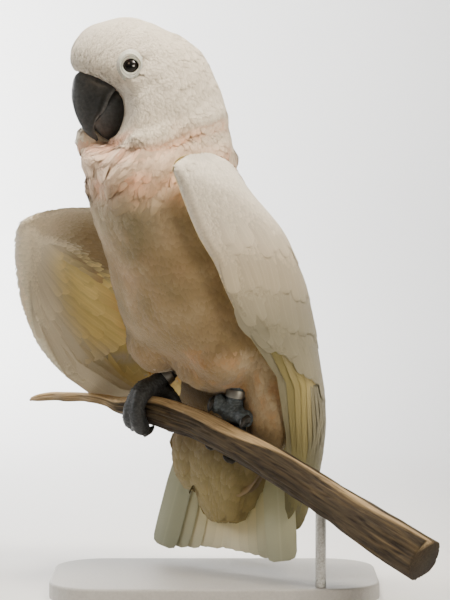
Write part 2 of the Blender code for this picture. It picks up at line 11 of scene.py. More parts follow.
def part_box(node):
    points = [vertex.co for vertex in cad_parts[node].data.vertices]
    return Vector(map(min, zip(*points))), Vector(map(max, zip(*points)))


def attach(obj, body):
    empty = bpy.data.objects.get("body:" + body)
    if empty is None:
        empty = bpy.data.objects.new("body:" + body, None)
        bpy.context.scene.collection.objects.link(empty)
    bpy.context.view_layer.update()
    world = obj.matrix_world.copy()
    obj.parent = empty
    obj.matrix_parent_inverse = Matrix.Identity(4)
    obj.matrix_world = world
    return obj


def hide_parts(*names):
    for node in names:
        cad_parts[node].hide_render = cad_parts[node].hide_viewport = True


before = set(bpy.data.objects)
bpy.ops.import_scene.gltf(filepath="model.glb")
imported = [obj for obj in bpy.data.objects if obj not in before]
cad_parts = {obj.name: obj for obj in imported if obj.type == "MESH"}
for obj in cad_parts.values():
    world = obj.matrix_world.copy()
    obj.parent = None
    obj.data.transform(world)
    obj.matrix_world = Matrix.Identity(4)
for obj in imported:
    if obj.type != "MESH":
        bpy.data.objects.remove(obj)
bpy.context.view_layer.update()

MM = 0.001
rng = np.random.default_rng(11)

# ---------------------------------------------------------------- axes
# The bird's own axes start on top of the branch between its feet: F is the way the chest
# faces, L is its left and U is up. The head is turned further than the body: it looks along
# -X, and its middle plane lies at HEAD_DEPTH on Y, in millimetres.
BODY_TURN = math.radians(40)
FORWARD = np.array([-math.sin(BODY_TURN), -math.cos(BODY_TURN), 0.0])
LEFT = np.array([math.cos(BODY_TURN), -math.sin(BODY_TURN), 0.0])
UP = np.array([0.0, 0.0, 1.0])
ROD_AT = 118.0  # place of the stand's rod on L, in millimetres
PERCH_HEIGHT = 139.0  # of the branch's top between the feet, over the stand's underside
HEAD_DEPTH = -35.0  # of the head's middle plane, on Y

ROD_BOX = np.array(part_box("stand_rod"))
ORIGIN = (ROD_BOX.sum(axis=0) * (0.5, 0.5, 0.0) - LEFT * ROD_AT * MM
          + UP * PERCH_HEIGHT * MM)


def bird(f, l, u):
    """World place of a point in the bird's own axes, in millimetres."""
    return ORIGIN + (FORWARD * f + LEFT * l + UP * u) * MM


def head_place(x, y, u):
    """World place of a point given along X and height, and out from the head's middle plane."""
    return ORIGIN + np.array([x, HEAD_DEPTH + y, u]) * MM


def own_axes(points):
    """World places (n, 3) as F, L and U in millimetres."""
    rel = (points - ORIGIN) / MM
    return np.stack([rel @ FORWARD, rel @ LEFT, rel[:, 2]], axis=1)


def unit(v):
    """Each way at length 1."""
    return v / np.maximum(np.linalg.norm(v, axis=-1, keepdims=True), 1e-12)


def ease(x, low_edge, high_edge):
    """0 below the low edge, 1 above the high edge, smooth between them."""
    t = np.clip((x - low_edge) / (high_edge - low_edge), 0, 1)
    return t * t * (3 - 2 * t)


# ---------------------------------------------------------------- colours and materials
def linear(code):
    """An sRGB hex colour as linear red, green and blue."""
    values = [int(code[i:i + 2], 16) / 255 for i in (0, 2, 4)]
    return tuple(v / 12.92 if v <= 0.04045 else ((v + 0.055) / 1.055) ** 2.4 for v in values)


def fill(tree, node, inputs):
    """Each input, by name or place, is given a value or a link from a socket."""
    for key, value in inputs.items():
        if isinstance(value, bpy.types.NodeSocket):
            tree.links.new(value, node.inputs[key])
        else:
            node.inputs[key].default_value = value


def add(tree, kind, inputs=None, **settings):
    """One node with its settings and its inputs."""
    node = tree.nodes.new(kind)
    for key, value in settings.items():
        setattr(node, key, value)
    fill(tree, node, inputs or {})
    return node


def start_material(name):
    """A new material, its node tree and its shader."""
    made = bpy.data.materials.new(name)
    made.use_nodes = True
    return made, made.node_tree, made.node_tree.nodes["Principled BSDF"]


def painted(tree, share):
    """The colour painted on the mesh, scaled by a socket's value."""
    tint = add(tree, "ShaderNodeAttribute", attribute_name="tint").outputs["Color"]
    scaled = add(tree, "ShaderNodeVectorMath", {"Vector": tint, "Scale": share},
                 operation="SCALE")
    return scaled.outputs["Vector"]


def set_stops(node, *stops):
    """A ramp's two stops as (place, hex colour); gives the ramp's colour."""
    for element, (place, code) in zip(node.color_ramp.elements, stops):
        element.position = place
        element.color = (*linear(code), 1)
    return node.outputs["Color"]


BARB_GAP = 3.1416  # between the barbs' streaks, in millimetres
SHAFT_HALF = 0.05  # half the shaft's width, as a share of the vane's
PIMPLE = 1.1111  # between the skin's pimples: real ones are finer, and would not show
ROLLER_PEEL = 1.6667  # between the paint's ripples


def feather_material(name, vane, slope, shaft_tone, rough, shade_under_tip):
    """Feather keratin, grown and preened: matt and soft, with a shaft and slanting barbs that
    catch the light as fine streaks. Real barbs are well under a millimetre apart; they are
    drawn BARB_GAP apart on a vane of this typical length in millimetres, so that they show,
    and come closer on a shorter one."""
    made, tree, shader = start_material(name)
    site = add(tree, "ShaderNodeUVMap", uv_map="vane").outputs["UV"]
    parts = add(tree, "ShaderNodeSeparateXYZ", {"Vector": site})
    along = parts.outputs["Y"]
    across = add(tree, "ShaderNodeMath", {0: parts.outputs["X"], 1: 0.5}, operation="SUBTRACT")
    away = add(tree, "ShaderNodeMath", {0: across.outputs[0]}, operation="ABSOLUTE").outputs[0]
    slant = add(tree, "ShaderNodeMath", {0: away, 1: slope}, operation="MULTIPLY")
    line = add(tree, "ShaderNodeMath", {0: along, 1: slant.outputs[0]}, operation="SUBTRACT")
    turns = add(tree, "ShaderNodeMath", {0: line.outputs[0], 1: 2 * math.pi * vane / BARB_GAP},
                operation="MULTIPLY")
    barbs = add(tree, "ShaderNodeMath", {0: turns.outputs[0]}, operation="SINE").outputs[0]
    shaft = add(tree, "ShaderNodeMapRange",
                {"Value": away, "From Max": SHAFT_HALF, "To Min": shaft_tone})
    ripple = add(tree, "ShaderNodeMapRange", {"Value": barbs, "From Min": -1.0, "To Min": 0.93})
    # painted shade: the part under the next feather's tip is duller than the tip itself
    tip = add(tree, "ShaderNodeMapRange",
              {"Value": along, "From Min": 0.45, "From Max": 0.95, "To Min": shade_under_tip},
              interpolation_type="SMOOTHSTEP")
    tone = add(tree, "ShaderNodeMath",
               {0: shaft.outputs["Result"], 1: ripple.outputs["Result"]}, operation="MULTIPLY")
    shade = add(tree, "ShaderNodeMath", {0: tone.outputs[0], 1: tip.outputs["Result"]},
                operation="MULTIPLY")
    relief = add(tree, "ShaderNodeBump", {"Height": barbs, "Strength": 0.5,
                                          "Distance": 0.08 * MM})
    fill(tree, shader, {"Base Color": painted(tree, shade.outputs[0]), "Roughness": rough,
                        "Sheen Weight": 0.2, "Sheen Roughness": 0.6,
                        "Specular IOR Level": 0.25, "Normal": relief.outputs["Normal"]})
    return made


def skin_material():
    """Bird skin under the plumage, in the same markings as the feathers over it: dull, with
    fine pimples."""
    made, tree, shader = start_material("Feathered skin")
    place = add(tree, "ShaderNodeTexCoord").outputs["Object"]
    pimples = add(tree, "ShaderNodeTexNoise",
                  {"Vector": place, "Scale": 1 / (PIMPLE * MM), "Detail": 3.0}).outputs["Fac"]
    shade = add(tree, "ShaderNodeMapRange", {"Value": pimples, "To Min": 0.8})
    relief = add(tree, "ShaderNodeBump", {"Height": pimples, "Strength": 0.6,
                                          "Distance": 0.3 * MM})
    fill(tree, shader, {"Base Color": painted(tree, shade.outputs["Result"]),
                        "Roughness": 0.85, "Normal": relief.outputs["Normal"]})
    return made


# ---------------------------------------------------------------- pieces
def placed(name, data):
    """A new object in the scene."""
    made = bpy.data.objects.new(name, data)
    bpy.context.scene.collection.objects.link(made)
    return made


def meshed(name, bm, *materials):
    """A build as a smooth mesh."""
    mesh = bpy.data.meshes.new(name)
    bm.to_mesh(mesh)
    bm.free()
    mesh.shade_smooth()
    for material in materials:
        mesh.materials.append(material)
    return mesh


def belongs(made, nodes=()):
    """The object rides on the body and replaces CAD nodes."""
    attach(made, "root")
    if nodes:
        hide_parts(*nodes)


def piece(name, bm, material, slot, *nodes):
    """A finished piece of the object from a build."""
    made = placed(name, meshed(name, bm, material))
    belongs(made, nodes)
    return made


def evened(made, voxel, passes):
    """The object's mesh drawn anew as one closed skin of small even faces, and softened."""
    merge = made.modifiers.new("one skin", "REMESH")
    merge.mode = "VOXEL"
    merge.voxel_size = voxel
    soften = made.modifiers.new("soften", "SMOOTH")
    soften.iterations = passes
    soften.factor = 0.5
    graph = bpy.context.evaluated_depsgraph_get()
    made.data = bpy.data.meshes.new_from_object(made.evaluated_get(graph))
    made.modifiers.clear()
    return made.data


def raised(mesh, co, normal, rise):
    """A mesh's places moved out along their normals, in millimetres."""
    mesh.vertices.foreach_set("co", (co + normal * (rise * MM)[:, None]).ravel())
    mesh.update()
    mesh.shade_smooth()


def noisy(x, y, z):
    """Smooth noise between -1 and 1 at each place."""
    return np.array([noise.noise(Vector(p)) for p in zip(*np.broadcast_arrays(x, y, z))])


def smooth_row(rows, count):
    """Rows of numbers read at count even places along a smooth curve through them all."""
    rows = np.array(rows, dtype=float)
    last = len(rows) - 1
    at = np.linspace(0, last, count)
    i = np.minimum(at.astype(int), last - 1)
    t = (at - i)[:, None]
    a = rows[np.maximum(i - 1, 0)]
    b = rows[i]
    c = rows[i + 1]
    d = rows[np.minimum(i + 2, last)]
    return 0.5 * (2 * b + (c - a) * t + (2 * a - 5 * b + 4 * c - d) * t ** 2
                  + (3 * b - a - 3 * c + d) * t ** 3)


def lofted(rings, caps=True):
    """A skin drawn on from ring to ring of places, its ends closed. The mesh keeps the
    places' order."""
    bm = bmesh.new()
    verts = bmesh.ops.create_circle(bm, segments=len(rings[0]), radius=1.0)["verts"]
    first = edges = bm.edges[:]
    order = []
    for k, ring in enumerate(rings):
        if k:
            grown = bmesh.ops.extrude_edge_only(bm, edges=edges)["geom"]
            fresh = {v for v in grown if isinstance(v, bmesh.types.BMVert)}
            edges = [e for e in grown
                     if isinstance(e, bmesh.types.BMEdge) and fresh.issuperset(e.verts)]
            verts = [next(e.other_vert(v) for e in v.link_edges if e.other_vert(v) in fresh)
                     for v in verts]
        for v, place in zip(verts, ring):
            v.co = Vector(place)
        order += verts
    for n, v in enumerate(order):
        v.index = n
    bm.verts.sort()
    if caps:
        bmesh.ops.triangle_fill(bm, edges=first, use_beauty=True)
        bmesh.ops.triangle_fill(bm, edges=edges, use_beauty=True)
    bmesh.ops.recalc_face_normals(bm, faces=bm.faces)
    return bm


# ---------------------------------------------------------------- wing surfaces
# Stations from the top edge of each arm down to the feather tips, in the bird's axes: the
# front edge (F, L, U), the outer bulge and the rear edge, then the thickness.
WINGS = {
    "left": (1, [
        ((86, 62, 194), (64, 62, 196), (36, 50, 192), 6),
        ((97, 64, 186), (54, 67, 188), (20, 46, 182), 10),
        ((93, 67, 172), (42, 76, 168), (6, 38, 165), 13),
        ((76, 70, 138), (12, 82, 140), (-10, 34, 142), 13),
        ((61, 73, 115), (-4, 84, 117), (-32, 34, 119), 11),
        ((51, 75, 93), (-16, 84, 96), (-48, 42, 95), 9),
        ((34, 76, 70), (-24, 83, 73), (-60, 52, 71), 7),
        ((14, 77, 54), (-30, 83, 52), (-64, 60, 48), 5.5),
        ((-9, 77, 29), (-38, 84, 25), (-66, 66, 22), 4),
        ((-22, 76, -5), (-44, 84, -8), (-64, 72, -10), 3.5),
        ((-27, 71, -46), (-44, 78, -45), (-58, 73, -42), 3),
        ((-31, 67, -76), (-41, 71, -74), (-51, 69, -70), 2.4),
        ((-36, 63, -94), (-39, 65, -93), (-43, 65, -89), 1.6),
    ]),
    "right": (-1, [
        ((80, -86, 152), (56, -74, 154), (32, -52, 153), 6),
        ((92, -95, 144), (50, -80, 149), (18, -44, 149), 10),
        ((88, -102.5, 128), (38, -94, 131), (0, -38, 134), 13),
        ((78, -111.5, 102), (14, -110, 102), (-26, -38, 106), 12),
        ((62, -120.5, 72), (-8, -115, 68), (-50, -54, 70), 10),
        ((38, -127.5, 42), (-28, -110, 38), (-70, -64, 38), 8),
        ((14, -123, 18), (-42, -103, 16), (-82, -68, 15), 6),
        ((-14, -109, -1), (-56, -92, -1), (-88, -68, -2), 4),
        ((-44, -91, -10), (-74, -80, -10), (-96, -65, -9), 3.2),
        ((-78, -73, -14), (-92, -70, -14), (-104, -63, -13), 2.6),
        ((-106, -64, -16), (-112, -62, -16), (-117, -61, -15), 1.8),
    ]),
}
ARM_STATIONS = {"left": 7, "right": 6}  # the station where the quills leave the arm
EDGE = 0.08  # share of w, on either side of 0, that rounds a wing's front edge


def from_edge(w, most=1):
    """How far w lies from a wing's front edge, 0, to its rear, 1."""
    return np.clip((np.abs(w) - EDGE) / (1 - EDGE), 0, most)


def on_face(t, face):
    """The w at t from a wing's front edge, on its inner face, -1, or its outer one, 1."""
    return face * (EDGE + t * (1 - EDGE))


class WingSurface:
    """One wing as a surface. s runs down it, 0 to 1 on the arm and 1 to 2 on the quills; w runs
    round its section, -1 at the inner face's rear edge, 0 on the front edge and 1 at the outer
    face's rear edge."""

    def __init__(self, side, stations, arm):
        self.side = side
        rows = [[*front, *bulge, *rear, thick] for front, bulge, rear, thick in stations]
        steps = 24
        self.joint = arm * steps
        self.last = (len(stations) - 1) * steps
        self.fine = smooth_row(rows, self.last + 1)

    def section(self, s, t):
        """At t from the front edge, 0, to the rear, 1: the middle surface's place, the unit
        ways rearwards and outwards, and half the thickness."""
        on_quills = self.joint + (s - 1) * (self.last - self.joint)
        at = np.clip(np.where(s <= 1, s * self.joint, on_quills), 0, self.last)
        i = np.minimum(at.astype(int), self.last - 1)
        row = self.fine[i] + (self.fine[i + 1] - self.fine[i]) * (at - i)[:, None]
        a, b, c = row[:, 0:3], row[:, 3:6], row[:, 6:9]
        t = t[:, None]
        mid = a * ((1 - t) * (1 - 2 * t)) + b * (4 * t * (1 - t)) + c * (t * (2 * t - 1))
        back = a * (4 * t - 3) + b * (4 - 8 * t) + c * (4 * t - 1)
        flat = np.stack([back[:, 1], -back[:, 0], 0 * back[:, 0]], axis=1)
        rear = 0.6 - 0.3 * ease(s, 0.9, 1.1)[:, None]
        half = row[:, 9:10] / 2 * (rear + (1 - rear) * np.clip(1 - t, 0, 1) ** 1.3)
        return mid, unit(back), unit(flat) * self.side, half

    def shell(self, s, w, rise=0.0):
        """Places in the bird's axes on the wing's own skin, or a rise over it."""
        s, w, rise = np.broadcast_arrays(s, w, rise)
        mid, back, out, half = self.section(s, from_edge(w, 1.12))
        turn = np.clip(np.abs(w) / EDGE, 0, 1)[:, None] * math.pi / 2
        reach = half + rise[:, None]
        return mid + out * (reach * np.sin(turn) * np.sign(w)[:, None]) - back * (
            reach * np.cos(turn))

    def ways(self, s, w):
        """How places move with s and with w, and the unit way out of the skin."""
        d = 0.01
        down = (self.shell(s + d, w) - self.shell(s - d, w)) / (2 * d)
        around = (self.shell(s, w + d) - self.shell(s, w - d)) / (2 * d)
        return down, around, unit(np.cross(down, around)) * self.side

    def lay(self, s, w, length, turn, heights, bend):
        """Shafts over the wing from roots at s and w. The turn is from straight down the wing
        towards its rear edge, and the bend adds to it from root to tip; heights are over the
        skin at each step, in millimetres. Also gives the ways out, and s and w on the way."""
        count, points = heights.shape
        s = s.copy()
        w = w.copy()
        rearwards = np.where(w < 0, -1.0, 1.0)
        places = np.empty((count, points, 3))
        outs = np.empty((count, points, 3))
        sites = np.empty((count, points, 2))
        for k in range(points):
            down, around, out = self.ways(s, w)
            places[:, k] = self.shell(s, w, heights[:, k])
            outs[:, k] = out
            sites[:, k] = np.stack([s, w], axis=1)
            angle = turn + bend * (k / (points - 1) - 0.5)
            step = length / (points - 1)
            s += step * np.cos(angle) / np.linalg.norm(down, axis=1)
            w += rearwards * step * np.sin(angle) / np.linalg.norm(around, axis=1)
        return places, outs, sites


SURFACES = {
    name: WingSurface(side, rows, ARM_STATIONS[name]) for name, (side, rows) in WINGS.items()
}


def in_world(places):
    """Places in the bird's axes, of any shape (..., 3), in world metres."""
    return ORIGIN + to_world(places) * MM


def to_world(ways):
    """Ways in the bird's axes, of any shape (..., 3), in world axes."""
    return ways[..., :1] * FORWARD + ways[..., 1:2] * LEFT + ways[..., 2:] * UP


def wing_finder(surface):
    """A search tree over the middle of a wing that gives s and t for a place."""
    s, t = np.meshgrid(np.linspace(0, 1.1, 50), np.linspace(0, 1, 25), indexing="ij")
    params = np.stack([s.ravel(), t.ravel()], axis=1)
    places = surface.section(params[:, 0], params[:, 1])[0]
    tree = KDTree(len(params))
    for n, place in enumerate(places):
        tree.insert(Vector(place), n)
    tree.balance()
    return tree, params


FINDERS = {name: wing_finder(surface) for name, surface in SURFACES.items()}


def wing_site(name, own, inner):
    """s and w on a wing for places near it."""
    tree, params = FINDERS[name]
    near = params[[tree.find(Vector(p))[1] for p in own]]
    return near[:, 0], on_face(near[:, 1], np.where(inner, -1, 1))


# ---------------------------------------------------------------- skin
FLESH = ["head", "neck", "chin", "trunk", "rump", "thigh_left", "thigh_right", "wing_left",
         "wing_right"]
COLLAR = ("head", "neck", "trunk")  # what the folds run over
LOW = ("thigh_left", "thigh_right", "rump")
SKIN_VOXEL = 2.4 * MM


def is_kind(kinds, *names):
    """Which places belong to any of these nodes."""
    return np.isin(kinds, [FLESH.index(name) for name in names])


def node_mesh(name):
    """A copy of a CAD node's shape, its loose triangles joined."""
    bm = bmesh.new()
    bm.from_mesh(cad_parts[name].data)
    bmesh.ops.remove_doubles(bm, verts=bm.verts, dist=0.00001)
    return bm


def flesh_tree():
    """All the nodes of flesh as one search tree, and each face's node."""
    places, faces, owner = [], [], []
    for n, name in enumerate(FLESH):
        bm = node_mesh(name)
        start = len(places)
        bm.verts.index_update()
        places += [v.co.copy() for v in bm.verts]
        for face in bm.faces:
            faces.append([start + v.index for v in face.verts])
            owner.append(n)
        bm.free()
    return BVHTree.FromPolygons(places, faces), owner, places, faces


# How deep the skin lies under the coat's surface, in millimetres.
COAT = 3.2
COAT_ON = {"chin": 1.4, "wing_left": 1.6, "wing_right": 1.6, "thigh_left": 2.6,
           "thigh_right": 2.6}


def coat_depth(kinds, own):
    """The coat's depth at each place; on the head it grows from the bill backwards."""
    depth = np.array([COAT_ON.get(name, COAT) for name in FLESH])[kinds]
    head = is_kind(kinds, "head")
    depth[head] = 1.2 + 1.6 * ease(head_x(own)[head], -62, -30)
    return depth


def head_x(own):
    """X from the origin, in millimetres: the bill is at the low end."""
    return own[:, 0] * FORWARD[0] + own[:, 1] * LEFT[0]


def head_y(own):
    """Y from the head's middle plane, in millimetres."""
    return own[:, 0] * FORWARD[1] + own[:, 1] * LEFT[1] - HEAD_DEPTH


# The loose collars of the neck and the folds of the breast: the line that each one's lower
# edge follows, as (X, height) from the front to the nape, how full it is, and its depth.
FOLDS = [
    ([(-100, 204), (-75, 200), (-60, 198.4), (-37, 198.4), (-20, 203), (-3, 211), (30, 222)],
     3.2, 6.5),
    ([(-100, 163), (-79, 168), (-64, 167), (-50, 172), (-34, 171), (-18, 178), (30, 192)],
     1.5, 6.5),
    ([(-100, 152), (-79, 153), (-66, 151), (-50, 156), (-30, 158), (-10, 168), (30, 178)],
     1.3, 5.0),
]


def locks(own):
    """Loose locks of plumage that hang forwards and down round the neck, between -1 and 1."""
    x, y, u = head_x(own), head_y(own), own[:, 2]
    return noisy((0.8 * x + 0.6 * u) / 26, (-0.6 * x + 0.8 * u) / 8.5, y / 30)


def folding(own):
    """How far each place stands out or in for the folds, and how deep in a crease it is."""
    x, u = head_x(own), own[:, 2]
    wander = waves(own, 11.0, 1.0)
    out = np.zeros(len(own))
    crease = np.zeros(len(own))
    for line, full, deep in FOLDS:
        edge = np.interp(x, *zip(*line)) + 2.2 * wander
        over = (u - edge) / deep
        roll = np.exp(-((over - 0.9) / 0.9) ** 2)
        dip = np.exp(-((over + 0.35) / 0.45) ** 2)
        out += full * (0.8 * roll - 0.6 * dip) * (0.75 + 0.6 * wander)
        crease = np.maximum(crease, full / 2.6 * dip)
    loose = band(u, 148, 164, 196, 224) * ease(x, -94, -78)
    lock = locks(own)
    out += 4.4 * loose * lock
    crease = np.maximum(crease * 0.8, loose * np.clip(-2.2 * lock - 0.1, 0, 1))
    return out, crease


def waves(own, size, stretch=2.2):
    """Soft folds, wider than they are tall, between -1 and 1."""
    f, l, u = own.T
    return noisy(f / (size * stretch), l / (size * stretch), u / size)


# The loose plumage of the left flank, behind the leg and down to the branch: its middle and
# its half-sizes along F, L and U.
FLANK = ((-29, 48, 2), (20, 24, 36))
# Soft swellings of the plumage over the flesh, given the same way: the belly between the
# legs, the lobes of the under-tail, the chin's tuft, the throat, the groin and the flank.
SWELLINGS = [
    ((5, -2, 31), (17, 17, 14)), ((3, 8, 30), (19, 19, 16)), ((-12, 8, 27), (20, 20, 18)),
    ((-12, -13, 30), (17, 17, 16)), ((-27, -35, -36), (8, 15, 27)),
    ((-25, 6, -62), (7, 16, 20)), ((-27, -10, -46), (9, 26, 26)),
    ((75.5, -46.3, 207), (10, 10, 12)), ((75, -44, 196), (9, 9, 9)),
    ((75, -38.5, 188), (10, 10, 9)), ((74, -36.5, 172), (10, 12, 14)),
    ((-11, 27, 25), (11, 11, 10)), ((-36, 30, 6), (14, 20, 26)), FLANK,
]


def make_skin(tree, owner, places, faces):
    """One closed skin through all the flesh, drawn in by the coat's depth and folded. Gives
    the object and each place's kind of flesh."""
    bm = bmesh.new()
    for place, half in SWELLINGS:
        ball = bmesh.ops.create_uvsphere(bm, u_segments=24, v_segments=16, radius=1.0)
        for v in ball["verts"]:
            v.co = Vector(bird(*(p + h * c for p, h, c in zip(place, half, v.co))))
    start = len(places)
    bm.verts.index_update()
    places = places + [v.co.copy() for v in bm.verts]
    faces = faces + [[start + v.index for v in face.verts] for face in bm.faces]
    bm.free()
    mesh = bpy.data.meshes.new("skin")
    mesh.from_pydata([tuple(p) for p in places], [], faces)
    made = placed("skin", mesh)
    even = evened(made, SKIN_VOXEL, 6)
    bm = bmesh.new()
    bm.from_mesh(even)
    own = own_axes(np.array([v.co for v in bm.verts]))
    # the groin and the vent run together into one smooth belly
    belly = (own[:, 2] < 70) & (np.abs(own[:, 1] - 2) < 60) & (own[:, 2] > -4)
    # the head runs into the nape and the throat without a step
    nape = (own[:, 2] > 184) & (own[:, 2] < 232) & (head_x(own) > -58)
    for zone, passes in ((belly, 26), (nape, 22)):
        chosen = [v for v, wanted in zip(bm.verts, zone) if wanted]
        for _ in range(passes):
            bmesh.ops.smooth_vert(bm, verts=chosen, factor=0.5, use_axis_x=True,
                                  use_axis_y=True, use_axis_z=True)
    bm.to_mesh(even)
    bm.free()
    co, normal = read_verts(even)
    kinds = np.array([owner[tree.find_nearest(Vector(p))[2]] for p in co])
    own = own_axes(co)
    flank = np.linalg.norm((own - FLANK[0]) / FLANK[1], axis=1) < 1.15
    kinds[flank] = FLESH.index("thigh_left")
    out, _ = folding(own)
    rise = out * is_kind(kinds, *COLLAR) * (1 - ease(-head_x(own), 88, 96))
    rise -= coat_depth(kinds, own)
    rise += is_kind(kinds, "trunk") * (1.9 * waves(own, 19.0, 1.6) + 0.6 * waves(own, 8.0, 1.6))
    rise += is_kind(kinds, *LOW) * (0.9 * waves(own, 10.0, 1.0) + 0.5 * waves(own, 5.0, 1.0))
    rise += is_kind(kinds, "head") * 1.3 * locks(own * 1.3) * ease(head_x(own), -66, -40)
    raised(even, co, normal, rise)
    return made, kinds


def read_verts(mesh):
    """A mesh's places and unit normals as (n, 3) arrays."""
    read = []
    for key in ("co", "normal"):
        values = np.empty(len(mesh.vertices) * 3)
        mesh.vertices.foreach_get(key, values)
        read.append(values.reshape(-1, 3))
    return read


# ---------------------------------------------------------------- markings
WHITE = linear("F2E8D5")
CREAM = linear("DDCAA8")
SALMON = linear("EDB998")
PEACH = linear("F2A87C")
YELLOW = linear("ECD27A")
# painted shade: the olive and the last five colours here stand for shade over the white plumage.
# the orange, the peach and the cream are the plumage's own colours, used as painted shade too.
OLIVE_SHADE = linear("A3934C")
ORANGE = linear("B4742A")
SHADE = linear("A38C66")
GREY_SHADE = linear("9C957C")
MOSS_SHADE = linear("66613F")
BROWN_SHADE = linear("7B6541")
AMBER_SHADE = linear("75592B")


def blend(a, b, share):
    """From one colour, at a share of 0, to another, at 1."""
    share = np.asarray(share)[..., None]
    return np.asarray(a) * (1 - share) + np.asarray(b) * share


def washed(colour, *washes):
    """A colour with each (tone, share) laid over it in turn."""
    for tone, share in washes:
        colour = blend(colour, tone, share)
    return colour


def band(x, start, full, fall, end):
    """0 up to start, 1 from full to fall, 0 again from end on."""
    return ease(x, start, full) * (1 - ease(x, fall, end))


# Where the small feathers of the right forearm end, over the fan of the long under-coverts:
# s and the t that the crease has reached there.
FOREARM = ([0.20, 0.30, 0.38, 0.50, 0.56, 0.66], [0.0, 0.08, 0.35, 0.53, 0.60, 0.75])


def wing_tint(name, s, w, quills=False):
    """The colour of a wing's feathers at s and w, with painted shade over it: greyer and darker
    towards the tips, olive along the quills' front edge, and brown in the right wing's armpit.
    """
    t = from_edge(w)
    left = name == "left"
    outer = washed(
        WHITE,
        # painted shade: the outer face creamier, greyer and darker towards the tips
        (CREAM, 0.9 * ease(s, 0.2, 0.7)),
        (GREY_SHADE, (0.95 if left else 0.3) * ease(s, 0.35, 0.95)),
        (MOSS_SHADE, (0.25 if left else 0.0) * ease(s, 0.7, 1.0)),
        (SALMON, 0.45 * band(s, 0.35, 0.5, 0.62, 0.8) * ease(t, 0.7, 0.9)),
    )
    if quills and left:
        front = band(t, 0.02, 0.05, 0.12, 0.18)
        outer = washed(
            outer,
            # painted shade: the quills darker towards their tips
            (MOSS_SHADE, 0.45 * ease(s, 0.95, 1.25) + 0.6 * ease(s, 1.45, 1.62)),
            (YELLOW, 0.75 * band(t, 0.14, 0.22, 0.36, 0.5) * band(s, 0.9, 1.0, 1.15, 1.32)),
            # the vanes' yellow deepened into olive as painted shade
            (OLIVE_SHADE, 0.7 * band(t, 0.14, 0.22, 0.3, 0.4) * ease(s, 1.15, 1.3)),
            # painted shade: olive and moss along the quills' front edge
            (OLIVE_SHADE, 0.7 * front),
            (MOSS_SHADE, 0.35 * front),
            (MOSS_SHADE, 0.75 * ease(s, 1.4, 1.6)),
        )
    inner = blend(WHITE, YELLOW, 0.16)
    if left:
        inner = washed(inner, (YELLOW, 0.6), (outer, ease(s, 1.0, 1.2) * quills))
    else:
        arm = ease(t - np.interp(s, *FOREARM), -0.03, 0.05) * (1 - ease(s, 0.62, 0.7))
        fan = (1 - arm) * ease(t, 0.16, 0.40) * band(s, 0.34, 0.48, 0.80, 0.9)
        inner = washed(
            inner,
            # painted shade: the inner face greyer towards the tips
            (GREY_SHADE, 0.5 * ease(s, 0.2, 0.6)),
            (YELLOW, 0.8 * fan),
            # the secondaries' yellow deepened into olive as painted shade
            (OLIVE_SHADE, 0.55 * ease(s, 0.86, 0.94) * ease(t, 0.12, 0.3)),
            (YELLOW, 0.4 * ease(s, 0.86, 0.94) * ease(t, 0.12, 0.3)),
            # painted shade in the armpit, above the crease
            (BROWN_SHADE, arm * (0.2 + 0.75 * ease(t, 0.15, 0.5) * ease(s, 0.12, 0.35))),
            (SHADE, 0.4 * arm * band(s, 0.08, 0.2, 0.5, 0.7)),
            # orange by the body: the underwing's own orange deepened as painted shade
            (ORANGE, 0.8 * ease(t, 0.56, 0.72) * band(s, 0.36, 0.55, 0.95, 1.1)),
        )
    return blend(outer, inner, w < 0)


